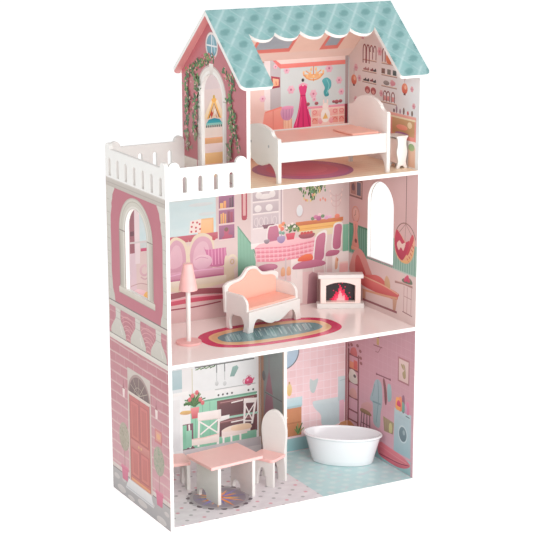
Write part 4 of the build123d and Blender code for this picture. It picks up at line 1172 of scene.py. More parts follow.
    balls(page, ((496, 553, 5, (96, 130, 90)), (504, 556, 6, (198, 110, 150)),
          (514, 560, 5, (238, 190, 200)), (512, 552, 7, (168, 76, 128)), (522, 556, 5, (92, 128, 86)),
          (532, 552, 6, (214, 150, 190)), (541, 553, 5, (222, 170, 200)), (560, 552, 7, (226, 120, 96))),
          24, squash=0.8)
    page.rect(440, 360, 470, 470, (238, 224, 222), (244, 232, 230))
    page.rect(548, 356, 591, 470, (238, 224, 222), (246, 234, 232))
    dining_chair(page, [(378, 512), (380, 545), (394, 549), (409, 547), (411, 512)],
                 [(376, 508), (412, 508), (412, 514), (376, 514)], [])
    dining_chair(page, [(546, 474), (549, 520), (553, 535), (568, 538), (576, 530), (573, 500), (570, 472)],
                 [(530, 462), (560, 462), (566, 472), (538, 474)],
                 [((534, 462), (532, 420)), ((562, 462), (566, 418))])
    page.poly([(347, 502), (360, 510), (430, 515), (500, 511), (512, 504), (505, 498), (352, 496)],
              (240, 178, 190), (248, 198, 206))
    page.poly([(347, 502), (352, 470), (400, 464), (470, 466), (508, 474), (511, 504), (430, 497)],
              (232, 128, 150), (240, 150, 170))
    for k in range(15):
        u = 351 + k * 11
        page.line([(u, 500), (u + 1, 468)], 3.4, (244, 178, 192))
    for v in (474, 484, 494):
        page.line([(349, v + 3), (430, v - 2), (510, v + 3)], 2.6, (246, 186, 198), curved=True)
        page.line([(349, v + 7), (430, v + 2), (510, v + 7)], 1.0, (214, 96, 124), curved=True)
    page.blob([(371, 517), (385, 517), (382, 509), (374, 509)], (122, 104, 120), (160, 144, 156))
    page.blob([(406, 521), (423, 521), (424, 511), (415, 505), (405, 511)],
              (140, 116, 168), (174, 152, 196))
    balls(page, ((412, 545, 5, (240, 150, 96)), (420, 549, 5, (236, 128, 84)),
          (417, 538, 5, (222, 100, 80)), (412, 530, 4, (110, 160, 140)), (420, 528, 4, (96, 148, 128))),
          24, count=10)
    page.poly([(426, 526), (451, 526), (447, 511), (430, 511)], (206, 56, 82), (224, 82, 104))
    leaf_run(page, [(428, 532), (436, 542), (446, 540), (452, 530)], dice, 6, every=4, rose_share=0.0)
    dots(page, ((434, 544), (443, 547), (449, 540), (428, 538)), 3.4, 3.0, (250, 238, 232), count=10)
    page.blob([(461, 520), (500, 520), (494, 510), (467, 510)], (140, 60, 78), (170, 84, 98))
    for u in (468, 476, 484, 492):
        page.oval(u, 522, 4.2, 3.4, ((206, 70, 70), (226, 130, 96))[u % 8 == 0], count=10)
    dining_chair(page, [(497, 440), (499, 490), (504, 512), (516, 521), (533, 520), (530, 480), (526, 452)],
                 [(446, 441), (520, 441), (528, 450), (500, 458), (458, 455)],
                 [((452, 441), (455, 420)), ((498, 441), (500, 400)), ((526, 448), (530, 408))])
    page.blob([(460, 458), (494, 458), (494, 470), (478, 473), (460, 466)], (224, 72, 50), (244, 120, 74))
    page.oval(379, 453, 27, 9, (164, 84, 118), (190, 104, 140))
    page.oval(379, 455, 22, 6, (186, 100, 134), (200, 118, 150))
    strokes(page, (360, 398), 448, 412, 3.0, (236, 224, 222), lean=-3)
    page.rect(424, 412, 428, 470, (206, 188, 192))
    for u in (419, 434):
        page.blob([(u - 5, 430), (u + 5, 430), (u + 5, 444), (u, 450), (u - 5, 444)],
                  (222, 150, 110), (234, 176, 134))
    page.rect(567, 419, 590, 442, (248, 178, 178), (252, 194, 192))
    page.rect(567, 440, 590, 444, (252, 214, 208))
    page.blob([(555, 430), (561, 430), (563, 444), (560, 457), (556, 452)],
              (224, 164, 134), (234, 184, 152))
    page.oval(562, 450, 2.6, 4, (206, 130, 96), count=10)
    page.rect(575, 468, 591, 531, (110, 178, 150), (136, 196, 168))
    strokes(page, (579, 584, 589), 469, 530, 1.2, (98, 164, 136))
    page.line([(10, 412), (140, 417), (200, 421), (270, 415)], 13, (150, 70, 84), curved=True)
    page.line([(10, 398), (140, 402), (200, 404), (280, 402)], 12, (206, 66, 96), curved=True)
    page.line([(10, 402), (140, 407), (200, 409), (278, 406)], 3, (244, 160, 176), curved=True)
    page.line([(10, 385), (140, 387), (200, 387), (262, 391)], 3, (150, 50, 72), curved=True)
    page.poly([(482, 356), (508, 356), (508, 424), (496, 430), (486, 424)], (150, 96, 112), (190, 140, 150))
    page.done()


parlour_back_picture()


def parlour_right_picture():
    """Picture, tall clock, hanging chair, day bed and flower table round the arched window."""
    page = Print("parlour_right_picture", (house_right - BOARD, house_front, 0), Y, Z, -X, haze=0.08)
    page.rect(9, 531, 93, 535, (110, 150, 132), (150, 184, 168))
    page.rect(200, 531, 277, 535, (40, 100, 76), (74, 140, 112))
    page.rect(9, 464, 93, 467, (190, 206, 196))
    page.rect(200, 464, 277, 467, (150, 170, 158))
    page.line([(93, 470), (200, 470)], 3.2, (150, 140, 144))
    page.rect(277, 467, 284, 535, (140, 196, 170))
    page.rect(222, 596, 280, 639, (124, 80, 76), (142, 98, 90))
    page.rect(226, 600, 276, 635, (196, 150, 140), (206, 164, 152))
    page.rect(229, 603, 246, 633, (76, 72, 88), (98, 92, 106))
    page.rect(250, 603, 272, 633, (160, 104, 96), (176, 124, 112))
    page.blob([(256, 612), (266, 612), (268, 622), (260, 628), (254, 620)], (106, 70, 74))
    page.ring(250, 558, 15, 18, 3.0, (196, 120, 104), top=(210, 140, 120))
    page.oval(250, 558, 12, 14, (214, 158, 146), (222, 172, 158))
    page.line([(250, 558), (250, 568)], 1.2, (130, 80, 76))
    page.line([(250, 558), (256, 554)], 1.2, (130, 80, 76))
    page.blob([(240, 540), (260, 540), (258, 520), (261, 500), (264, 482), (236, 482), (239, 500),
              (242, 520)], (214, 128, 112), (224, 146, 136))
    page.oval(248, 497, 5, 5, (116, 50, 46))
    page.line([(248, 502), (249, 536)], 1.4, (170, 90, 84))
    page.rect(232, 474, 268, 482, (210, 130, 108), (222, 148, 124))
    page.line([(44, 690), (44, 575)], 2.2, (122, 84, 78))
    page.ring(45, 531, 42, 45, 2.2, (140, 104, 92), 20, 160)
    page.line([(44, 575), (20, 552)], 1.2, (146, 110, 96))
    page.line([(44, 575), (47, 536)], 1.2, (146, 110, 96))
    page.line([(44, 575), (74, 548)], 1.2, (146, 110, 96))
    page.blob([(8.5, 540), (16, 556), (30, 540), (44, 536), (62, 548), (80, 556), (88, 536), (86, 512),
              (74, 494), (54, 487), (32, 490), (14, 508)], (226, 170, 122), (240, 186, 160))
    page.blob([(30, 540), (46, 534), (62, 546), (80, 556), (87, 534), (84, 512), (72, 497), (56, 492),
              (42, 506), (32, 522)], (176, 44, 74), (206, 66, 92))
    page.blob([(12, 548), (18, 556), (28, 542), (30, 528), (40, 510), (34, 508), (20, 530)],
              (196, 60, 78), (210, 80, 92))
    page.blob([(44, 534), (58, 528), (68, 534), (78, 524), (70, 512), (62, 520), (52, 514)],
              (234, 196, 184), (242, 212, 200))
    for u, v in ((14, 530), (17, 520), (21, 511), (27, 503), (34, 497)):
        page.line([(u - 3, v - 3), (u + 4, v + 3)], 2.4, (200, 66, 66))
    page.line([(12, 524), (22, 504), (40, 492), (60, 488)], 2.2, (232, 186, 110), curved=True)
    page.blob([(172, 422), (190, 448), (212, 474), (236, 482), (256, 470), (268, 448), (274, 424),
              (250, 414), (200, 414)], (206, 128, 120), (214, 140, 132))
    page.blob([(205, 425), (222, 452), (238, 466), (248, 458), (250, 434), (244, 424)],
              (188, 66, 66), (200, 84, 80))
    page.blob([(118, 416), (132, 432), (158, 436), (190, 430), (214, 424), (212, 414)],
              (206, 80, 84), (216, 104, 98))
    page.blob([(103, 418), (106, 436), (118, 444), (126, 430), (120, 416)],
              (200, 160, 116), (222, 186, 146))
    page.blob([(70, 406), (80, 416), (216, 422), (218, 400), (90, 396)], (196, 70, 76), (224, 116, 110))
    page.line([(70, 412), (130, 419), (218, 422)], 3.0, (232, 180, 150), curved=True)
    page.line([(72, 402), (130, 396), (218, 390)], 5.0, (214, 156, 122), curved=True)
    page.poly([(74, 398), (92, 398), (90, 372), (80, 372)], (190, 140, 116), (206, 160, 132))
    page.rect(204, 370, 216, 392, (206, 150, 124))
    page.line([(74, 370), (140, 369), (216, 368)], 5.0, (140, 76, 84))
    page.line([(14, 440), (50, 441), (84, 438)], 5.0, (172, 130, 124), curved=True)
    page.line([(16, 443), (82, 441)], 1.6, (214, 180, 170))
    strokes(page, (18, 34, 47), 436, 378, 1.6, (178, 132, 130), lean=1)
    page.line([(17, 412), (48, 414)], 1.4, (178, 132, 130))
    page.line([(14, 375), (52, 378)], 2.4, (150, 104, 106))
    page.blob([(14, 448), (26, 458), (52, 452), (54, 445), (28, 444)], (96, 110, 92), (120, 134, 110))
    for u, v, size in ((30, 452, 6), (38, 454, 7), (44, 450, 5), (34, 459, 5)):
        page.oval(u, v, size, size * 0.85, (196, 62, 96), (216, 90, 120), count=12)
    page.done()


parlour_right_picture()


def kitchen_back_picture():
    """Range, hood and cupboards; then the bathroom's mirror, basin and lavatory."""
    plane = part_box("back_panel_ground")[0].y
    page = Print("kitchen_back_picture", (house_left, plane, 0), X, Z, -Y, haze=0.16, veil=(200, 200, 200))
    page.rect(9, 250, 345, 346, (228, 228, 230), (238, 238, 238))
    for u in (12, 66, 120, 250, 300):
        page.rect(u, 256, u + 46, 342, (214, 214, 218), (230, 230, 232))
        page.rect(u + 4, 261, u + 42, 337, (240, 238, 238), (246, 244, 244))
    page.rect(20, 196, 164, 250, (226, 232, 234), (234, 238, 240))
    page.rect(140, 204, 164, 248, (166, 196, 202), (190, 212, 216))
    page.rect(44, 200, 96, 248, (180, 208, 216), (206, 226, 230))
    page.rect(20, 188, 180, 196, (244, 242, 240), (250, 248, 246))
    page.rect(188, 165, 201, 246, (208, 198, 164), (216, 208, 182))
    page.rect(356, 57, 361, 346, (178, 140, 120), (192, 156, 136))
    page.rect(361, 57, 366.5, 346, (140, 144, 142), (150, 158, 156))
    page.rect(190, 190, 350, 250, (238, 238, 238), (246, 246, 246))
    page.rect(196, 246, 345, 249, (90, 90, 88))
    for u, head in ((250, 203), (270, 200)):
        page.line([(u, 246), (u, 228)], 2.4, (110, 112, 112))
        page.line([(u, 228), (u, 208)], 1.4, (180, 182, 182))
        page.oval(u, head, 4.6, 5.6, (190, 192, 192), (222, 222, 222), count=12)
    page.poly([(283, 214), (294, 213), (305, 232), (301, 238), (290, 236)],
              (120, 160, 152), (146, 182, 174))
    page.oval(331, 196, 11, 10, (206, 40, 92), (232, 74, 120))
    page.line([(338, 196), (343, 199), (344, 203)], 2.4, (214, 50, 98), curved=True)
    page.ring(320, 197, 4, 5, 1.6, (206, 44, 92), 90, 270)
    page.ring(331, 205, 6, 5, 1.2, (226, 120, 150), 10, 170)
    page.oval(331, 206, 2.6, 2.2, (190, 36, 80), count=10)
    page.oval(328, 199, 2.4, 2.6, (250, 170, 196), count=10)
    page.line([(245, 189), (348, 189)], 1.8, (168, 168, 168))
    page.rect(245, 168, 350, 186, (240, 238, 236), (248, 246, 244))
    for u in (254, 265, 276, 288, 330, 342):
        page.oval(u, 175, 2.6, 2.6, (72, 62, 66), count=10)
    page.rect(184, 60, 350, 168, (118, 186, 152), (146, 208, 176))
    page.rect(180, 165, 352, 169, (92, 150, 122), (110, 170, 142))
    strokes(page, (196, 214, 232), 62, 164, 1.2, (98, 164, 134))
    for low, high in ((121, 162), (76, 116)):
        page.rect(250, low, 352, high, (104, 56, 58), (116, 64, 66))
        page.rect(256, low + 4, 346, high - 10, (84, 44, 48), (98, 54, 58))
        page.line([(258, high - 6), (344, high - 5)], 1.8, (186, 130, 130))
    page.rect(246, 116, 354, 120, (160, 204, 184))
    for k in range(12):
        page.oval(200 + k * 4, 242.5 + (k % 3), 3.6, 1.4, LEAVES[k % 5], turn=30 * (k % 2), count=7)
    page.rect(164, 40, 190, 120, (98, 56, 72), (118, 72, 86))
    page.rect(9, 40, 164, 188, (236, 236, 236), (244, 244, 244))
    page.rect(16, 60, 84, 180, (226, 226, 228), (236, 236, 236))
    page.rect(90, 60, 158, 180, (226, 226, 228), (236, 236, 236))
    page.poly([(256, 112), (281, 116), (281, 125), (256, 124)], (240, 230, 226), (250, 244, 240))
    page.rect(164, 62, 174, 118, (120, 190, 156))
    page.line([(180, 118), (182, 62)], 4.0, (240, 232, 228))
    page.blob([(158, 146), (164, 152), (186, 150), (192, 146), (176, 142)], (206, 146, 90), (230, 190, 110))
    page.poly([(184, 156), (206, 156), (202, 130), (187, 130)], (206, 70, 84), (238, 140, 140))
    dice = random.Random(5)
    for k in range(26):
        angle = math.radians(200 - k * 8.4)
        reach = dice.uniform(16, 30)
        tip = (194 + reach * math.cos(angle), 160 + abs(reach * math.sin(angle)) + 2)
        page.line([(194, 158), ((194 + tip[0]) / 2, (158 + tip[1]) / 2 + 4), tip],
                  3.0, dice.choice(LEAVES), curved=True)
    dots(page, ((189, 184), (200, 190), (208, 172), (182, 176), (214, 164)), 4.6, 5.4, (214, 70, 84),
         (236, 120, 120), count=12)
    pale, shade = (250, 238, 234), (228, 206, 202)
    page.poly([(200, 62), (205, 62), (208, 140), (203, 140)], pale)
    page.poly([(248, 56), (254, 56), (258, 140), (253, 140)], pale)
    page.poly([(201, 124), (260, 121), (260, 141), (202, 142)], (244, 226, 220), (252, 242, 238))
    page.line([(204, 123), (258, 120)], 1.8, shade)
    page.line([(207, 120), (250, 88)], 3.4, pale)
    page.line([(208, 90), (254, 119)], 3.4, pale)
    page.poly([(176, 67), (253, 65), (254, 83), (216, 80), (177, 82)], (234, 214, 206), (250, 232, 224))
    page.line([(176, 82), (216, 81), (254, 84)], 2.6, (246, 200, 190))
    page.rect(172, 64, 186, 104, (126, 190, 160), (146, 206, 178))
    page.oval(189, 58, 6, 6, (96, 50, 64), count=10)
    for u in (206, 224, 238):
        page.rect(u, 48, u + 12, 58, (90, 62, 70), (120, 170, 146))
    page.poly([(316, 98), (321, 98), (324, 154), (318, 154)], pale)
    page.poly([(336, 94), (341, 94), (351, 150), (346, 151)], pale)
    page.poly([(317, 146), (350, 143), (352, 154), (318, 157)], (246, 232, 228), (252, 244, 240))
    page.line([(320, 144), (338, 106)], 2.8, pale)
    page.line([(320, 108), (346, 142)], 2.8, pale)
    page.line([(316, 104), (340, 101)], 3.2, pale)
    page.line([(286, 152), (316, 154)], 3.0, pale)
    page.line([(285, 106), (320, 107)], 3.0, pale)
    page.poly([(261, 72), (334, 74), (335, 90), (261, 90)], (240, 214, 206), (250, 228, 222))
    page.blob([(262, 88), (272, 95), (290, 98), (320, 98), (335, 94), (335, 84), (300, 83)],
              (244, 214, 200), (250, 224, 208))
    page.blob([(285, 88), (290, 96), (320, 97), (335, 93), (334, 84), (300, 84)],
              (240, 196, 160), (248, 212, 178))
    for u in (263, 283, 306, 329):
        page.rect(u, 54, u + 5, 76, pale)
    page.line([(263, 56), (334, 56)], 3.0, pale)
    page.rect(326, 60, 350, 78, (112, 180, 148), (136, 196, 166))
    page.rect(9, 9, 361, 40, (206, 196, 198), (216, 206, 206))
    page.rect(164, 40, 361, 60, (190, 180, 184), (206, 196, 198))
    page.rect(371, 9, 591, 40, (134, 184, 188), (150, 196, 198))
    page.oval(420, 250, 42, 42, (88, 92, 104), count=36)
    page.oval(420, 250, 39.5, 39.5, (168, 200, 222), (198, 222, 236), count=36)
    page.poly([(398, 224), (420, 214), (440, 268), (428, 280)], (206, 228, 240))
    page.rect(371, 145, 428, 240, (232, 176, 190), (238, 190, 202))
    page.oval(436, 158, 7, 15, (236, 190, 110), (246, 214, 146))
    page.rect(434, 172, 438, 178, (206, 160, 100))
    page.rect(371, 116, 470, 138, (176, 212, 220), (204, 228, 232))
    page.poly([(371, 112), (466, 112), (470, 118), (371, 118)], (156, 190, 196))
    page.rect(371, 45, 468, 113, (186, 112, 68), (204, 128, 82))
    for v in (76, 78):
        page.line([(373, v), (466, v)], 1.0, (150, 84, 50))
    page.line([(420, 47), (420, 111)], 1.2, (156, 88, 54))
    for v in (62, 92):
        page.oval(430, v, 2.2, 2.2, (232, 200, 150), count=8)
    for k in range(7):
        page.line([(459, 48), (450 + k * 4, 62 + (k % 3) * 6)], 2.6, LEAVES[k % 4], curved=False)
    page.blob([(490, 156), (491, 176), (499, 171), (512, 174), (508, 156), (502, 142), (494, 144)],
              (190, 206, 204), (204, 216, 214))
    page.blob([(499, 112), (505, 121), (575, 118), (583, 108), (573, 88), (571, 57), (526, 57), (520, 84),
              (506, 100)], (190, 208, 212), (204, 222, 224))
    page.poly([(499, 113), (500, 121), (584, 121), (591, 111), (584, 106)],
              (204, 220, 222), (214, 228, 230))
    page.rect(566, 110, 590.5, 170, (190, 208, 212), (206, 222, 224))
    page.line([(571, 160), (591, 162)], 1.6, (170, 192, 196))
    page.rect(570, 60, 583, 112, (228, 168, 184), (234, 178, 192))
    page.rect(585, 42, 591, 330, (160, 96, 102), (172, 108, 112))
    page.poly([(564, 30), (591, 30), (591, 60), (574, 58), (562, 44)], (190, 118, 70), (208, 140, 92))
    page.done()


kitchen_back_picture()


def bathroom_right_picture():
    """Washing machine, robe on its rail, stool and towel ladder on the bathroom's wall."""
    page = Print("bathroom_right_picture", (house_right - BOARD, house_front, 0), Y, Z, -X, haze=0.08)
    page.rect(9, 9, 284, 42, (146, 188, 190), (160, 198, 200))
    page.rect(20, 215, 66, 272, (170, 112, 116), (182, 124, 126))
    page.rect(24, 219, 62, 268, (220, 190, 184), (230, 204, 196))
    page.blob([(34, 232), (42, 226), (48, 238), (40, 246), (46, 258), (38, 256)],
              (166, 146, 104), (180, 160, 120))
    page.blob([(42, 246), (50, 250), (54, 258), (46, 256)], (176, 150, 110))
    page.line([(131, 274), (168, 272)], 2.6, (150, 96, 98))
    page.line([(138, 272), (148, 259), (160, 259)], 2.0, (160, 104, 106))
    page.rect(145, 276, 155, 292, (196, 156, 92), (206, 170, 110))
    page.oval(149, 296, 6, 3, (120, 70, 66), count=10)
    page.line([(97, 209), (152, 207)], 3.2, (140, 84, 94))
    page.oval(97, 209, 3, 3, (130, 76, 86), count=10)
    page.oval(153, 207, 3, 3, (130, 76, 86), count=10)
    page.blob([(94, 196), (106, 196), (108, 176), (104, 156), (92, 162), (90, 178)],
              (140, 184, 186), (160, 198, 198))
    page.blob([(120, 204), (127, 200), (122, 180), (117, 148), (110, 148), (110, 176)],
              (120, 64, 72), (140, 84, 84))
    page.blob([(132, 186), (146, 196), (160, 188), (170, 164), (180, 140), (168, 134), (166, 108),
              (162, 86), (138, 84), (134, 120), (128, 148)], (146, 176, 178), (160, 188, 196))
    page.line([(148, 194), (144, 150), (152, 92)], 2.4, (112, 146, 152), curved=True)
    page.line([(134, 140), (168, 138)], 4.0, (118, 152, 158))
    page.line([(160, 182), (170, 150)], 1.8, (112, 146, 152))
    page.blob([(170, 124), (180, 130), (196, 128), (216, 116), (214, 108), (178, 108)],
              (206, 150, 150), (214, 162, 160))
    page.blob([(174, 100), (182, 108), (214, 108), (222, 103), (214, 98)], (130, 96, 60), (150, 116, 76))
    for u0, u1 in ((180, 178), (192, 192), (204, 208), (214, 220)):
        page.line([(u0, 100), (u1, 48)], 3.4, (92, 50, 54))
    page.line([(180, 74), (216, 74)], 2.0, (92, 50, 54))
    frame_red = (122, 62, 66)
    page.rect(228, 40, 234, 230, frame_red, (140, 76, 78))
    page.rect(271, 40, 278, 236, frame_red, (140, 76, 78))
    for v in (66, 90, 122, 158, 190, 224):
        page.rect(230, v - 2, 276, v + 2, frame_red, (136, 74, 76))
    page.rect(235, 192, 270, 208, (214, 128, 92), (224, 146, 108))
    page.rect(236, 194, 252, 214, (206, 84, 78), (216, 104, 90))
    page.blob([(236, 160), (270, 160), (270, 184), (256, 190), (240, 182)],
              (206, 200, 186), (224, 218, 206))
    page.oval(247, 176, 6, 4, (90, 74, 74), count=10)
    page.blob([(238, 124), (268, 124), (266, 138), (252, 146), (240, 140)],
              (206, 146, 138), (216, 160, 150))
    page.blob([(238, 226), (266, 226), (262, 240), (244, 244)], (190, 92, 92), (206, 112, 108))
    dots(page, ((224, 242), (236, 252), (262, 248), (276, 244), (222, 226), (220, 214)),
         6, 4, (140, 78, 80), (156, 98, 96), count=10)
    page.rect(10, 48, 78, 150, (152, 184, 192), (184, 206, 212))
    page.rect(12, 132, 76, 148, (172, 198, 204), (192, 212, 216))
    page.line([(16, 142), (32, 143)], 2.6, (84, 110, 118))
    page.ring(42, 97, 17, 19, 3.2, (196, 214, 218))
    page.oval(42, 97, 15, 17, (84, 110, 120), (112, 138, 146), count=28)
    page.oval(38, 102, 5, 6, (150, 172, 178), count=14)
    for u, v0, v1, w, colour in ((24, 150, 178, 6, (206, 120, 150)), (33, 150, 170, 5, (190, 150, 176)),
                                 (42, 150, 188, 5, (130, 84, 104)), (44, 150, 172, 7, (96, 150, 136)),
                                 (54, 150, 182, 6, (230, 130, 92)), (64, 150, 178, 8, (238, 160, 84)),
                                 (60, 158, 172, 7, (206, 56, 96))):
        page.blob([(u - w, v0), (u + w, v0), (u + w, v1 - 6), (u, v1), (u - w, v1 - 6)], colour,
                  lighter(colour, 22))
    page.poly([(82, 84), (118, 82), (124, 116), (78, 112)], (150, 130, 96), (176, 156, 116))
    strokes(page, (86, 94, 102, 110, 118), 84, 114, 1.6, (116, 92, 76), lean=1)
    page.blob([(86, 88), (98, 86), (98, 104), (88, 108)], (190, 184, 120), (206, 198, 140))
    page.blob([(10, 33), (30, 42), (60, 47), (100, 50), (132, 52), (143, 40), (140, 20), (96, 14),
              (60, 14), (28, 21)], (206, 84, 104), (232, 124, 136))
    page.line([(16, 31), (60, 24), (138, 22)], 2.0, (140, 40, 64), curved=True)
    page.line([(24, 34), (70, 36), (134, 42)], 2.4, (230, 136, 140), curved=True)
    page.line([(40, 28), (90, 26), (134, 30)], 1.8, (226, 124, 130), curved=True)
    page.poly([(240, 30), (284, 30), (284, 60), (262, 62), (240, 53)], (190, 118, 70), (206, 138, 90))
    page.done()


bathroom_right_picture()


def partition_picture():
    """A grey door with a pink ornament, on the kitchen's side of the partition."""
    low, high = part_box("partition_wall")
    page = Print("partition_picture", (low.x, house_front, 0), Y, Z, -X)
    near, far = (low.y - house_front) / MM, (high.y - house_front) / MM
    page.rect(near + 0.5, 9, far - 0.5, 346, (126, 130, 128), (140, 148, 146))
    page.rect(far - 13, 40, far - 1, 346, (170, 128, 108), (188, 146, 124))
    page.rect(near + 0.5, 40, near + 5, 346, (196, 168, 144))
    page.rect(near + 6, 52, far - 16, 340, (122, 128, 127), (146, 156, 154))
    middle = 239
    page.rect(middle - 3, 225, middle + 4, 335, (142, 134, 138), (158, 150, 154))
    page.poly([(middle - 26, 56), (middle + 26, 56), (middle + 22, 130), (middle + 15, 168),
              (middle - 15, 168), (middle - 22, 130)], (138, 90, 106), (150, 104, 120))
    page.poly([(middle - 17, 174), (middle + 17, 174), (middle + 8, 204), (middle, 228), (middle - 8, 204)],
              (150, 100, 116), (162, 116, 130))
    page.rect(near + 8, 169, far - 18, 171.5, (104, 102, 106))
    page.oval(264, 208, 8, 12, (104, 106, 108), (116, 118, 120))
    page.rect(near + 0.5, 9, far - 0.5, 42, (150, 132, 136), (164, 146, 148))
    page.line([(near + 3, 60), (far - 14, 44)], 2.0, (116, 84, 84))
    page.done()


partition_picture()


def floor_pictures():
    """The rugs printed on the three floors."""
    page = Print("kitchen_rug", (house_left, house_front, ground_top), X, Y, Z, "printed_floor")
    for k in range(30):
        angle = math.radians(k * 12)
        page.oval(165 + 64 * math.cos(angle), 104 + 64 * math.sin(angle),
                  8, 8, (104, 90, 98) if k % 2 else (196, 190, 194), count=12)
    page.oval(165, 104, 64, 64, (176, 168, 172), (170, 162, 166), count=48)
    page.oval(165, 104, 57, 57, (154, 144, 156), (148, 138, 150), count=48)
    page.oval(165, 104, 40, 40, (170, 160, 166), (162, 152, 160), count=48)
    petals = ((255, 146, 48), (140, 124, 206), (248, 160, 110), (255, 186, 84), (122, 112, 176))
    for k in range(20):
        angle = math.radians(k * 18 + 6)
        reach = 60 if k % 2 else 46
        tip = (165 + reach * math.cos(angle), 104 + reach * math.sin(angle))
        sides = [(165 + 20 * math.cos(angle + s), 104 + 20 * math.sin(angle + s)) for s in (-0.2, 0.2)]
        page.poly([(165, 104), sides[0], tip, sides[1]], petals[k % 5], lighter(petals[k % 5], 18))
    page.oval(165, 104, 9, 9, (244, 120, 40), (255, 150, 70))
    page.done()

    page = Print("parlour_rug", (house_left, house_front, middle_top), X, Y, Z, "printed_floor", GLOSSY_INK)

    def stadium(half_u, half_v, power=2.7, count=72):
        made = []
        for k in range(count):
            a = ROUND * k / count
            c, s = math.cos(a), math.sin(a)
            made.append((300 + half_u * math.copysign(abs(c) ** (2 / power), c),
                         119 + half_v * math.copysign(abs(s) ** (2 / power), s)))
        return made

    page.poly(stadium(163, 82), (224, 52, 104), (204, 50, 92))
    page.poly(stadium(141, 63), (246, 206, 156), (238, 184, 136))
    page.poly(stadium(135, 57), (236, 192, 142), (226, 176, 130))
    page.poly(stadium(123, 43), (112, 156, 160), (104, 144, 150))
    streaks = ((140, 180, 184), (88, 128, 136), (158, 194, 196), (104, 154, 152), (120, 160, 168),
               (186, 212, 212))
    dice = random.Random(3)
    for _ in range(95):
        u = dice.uniform(190, 402)
        width = dice.uniform(1.6, 4.2)
        reach = 36 * (1 - (abs(u - 300) / 121) ** 2.7) ** (1 / 2.7)
        low, high = -reach * dice.uniform(0.4, 1.0), reach * dice.uniform(0.4, 1.0)
        page.poly([(u + low * 0.35, 119 + low), (u + width + low * 0.35, 119 + low),
                  (u + width + high * 0.35, 119 + high), (u + high * 0.35, 119 + high)],
                  dice.choice(streaks))
    page.done()

    page = Print("attic_rug", (house_left, house_front, attic_top), X, Y, Z, "printed_floor")
    # Each ring runs darker towards the back, under the bed: painted shadow of the bed.
    page.oval(385, 131, 108, 108, (184, 116, 172), (150, 84, 128), count=64)
    page.oval(385, 131, 98, 98, (204, 118, 164), (172, 84, 126), count=64)
    page.oval(385, 134, 78, 76, (224, 116, 152), (184, 74, 104), count=64)
    page.oval(385, 136, 56, 54, (232, 132, 160), (190, 78, 108), count=48)
    for k in range(36):
        angle = math.radians(k * 10)
        page.oval(385 + 104 * math.cos(angle), 131 + 104 * math.sin(angle), 3.4, 3.4, (176, 106, 150),
                  count=8)
    page.done()


floor_pictures()


def left_inside_picture():
    """What shows inside the left wall, seen from the right: window trim, a dresser and two pictures."""
    page = Print("left_inside_picture", (house_left + BOARD, house_front, 0), Y, Z, X)
    page.arch_frame(144, 470, 53, 62, 593, 57, 66, (236, 226, 220), (244, 238, 232))
    page.rect(78, 462, 210, 470, (236, 226, 220), (246, 240, 234))
    for u, colour in ((20, (150, 190, 200)), (232, (238, 176, 130))):
        page.rect(u, 580, u + 40, 630, (196, 150, 130), (210, 166, 146))
        page.rect(u + 4, 584, u + 36, 626, colour, lighter(colour, 30))
    page.rect(30, 9, 150, 130, (118, 186, 152), (140, 204, 172))
    page.rect(26, 130, 154, 138, (240, 236, 232), (250, 248, 246))
    for u in (34, 74, 114):
        page.rect(u, 18, u + 32, 122, (132, 198, 166), (152, 210, 182))
        page.oval(u + 16, 112, 2.4, 2.4, BRASS, count=10)
    for v in (190, 230):
        page.rect(36, v, 146, v + 4, (226, 214, 206), (238, 228, 220))
        for u, size in ((50, 9), (76, 11), (104, 8), (130, 10)):
            page.oval(u, v + 4 + size, size * 0.8, size, (226, 150, 164), (240, 190, 196))
    page.rect(190, 9, 268, 240, (222, 196, 190), (232, 208, 202))
    page.rect(198, 18, 260, 232, (206, 140, 132), (216, 154, 146))
    page.oval(206, 128, 3, 3, BRASS, count=10)
    page.done()


left_inside_picture()


# ---------------------------------------------------------------- furniture and fittings

def painted(name, colour, rough=0.34, front=None):
    """Sprayed paint on fibreboard, with a little cloudiness and roller texture.
    front is a darker colour for the faces turned forward: painted shade."""
    paint = Paint(name, Roughness=rough, Coat_Weight=0.15, Coat_Roughness=0.22)
    base = paint.mottle(colour, 0.03, 32.0)
    grain = paint.noise(24.0, 3.0, stretch=(1.0, 1.0, 7.0))
    darker = tuple(c * 0.965 for c in colour)
    base = paint.mix(grain * 0.5, base, darker)
    # Faces turned forward take the front colour: painted shade.
    if front:
        forward = paint.normal()[1] * -1
        base = paint.mix(paint.over(forward, 0.8, 0.2), base, front)
    paint.bump(paint.noise(900.0, 1.0) + grain * 0.6, 0.16, 0.00025)
    return paint.done(base)


def metal(name):
    paint = Paint(name, Roughness=0.32, Metallic=1.0)
    colour = paint.mottle((196, 198, 202), 0.05, 300.0)
    paint.bump(paint.noise(1400.0, 2.0), 0.2, 0.0001)
    return paint.done(colour)


def beech(name):
    paint = Paint(name, Roughness=0.55)
    grain = paint.noise(80.0, 4.0, stretch=(0.4, 3.0, 3.0))
    paint.bump(grain, 0.3, 0.0002)
    return paint.done(paint.mix(grain, (206, 172, 128), (232, 204, 164)))


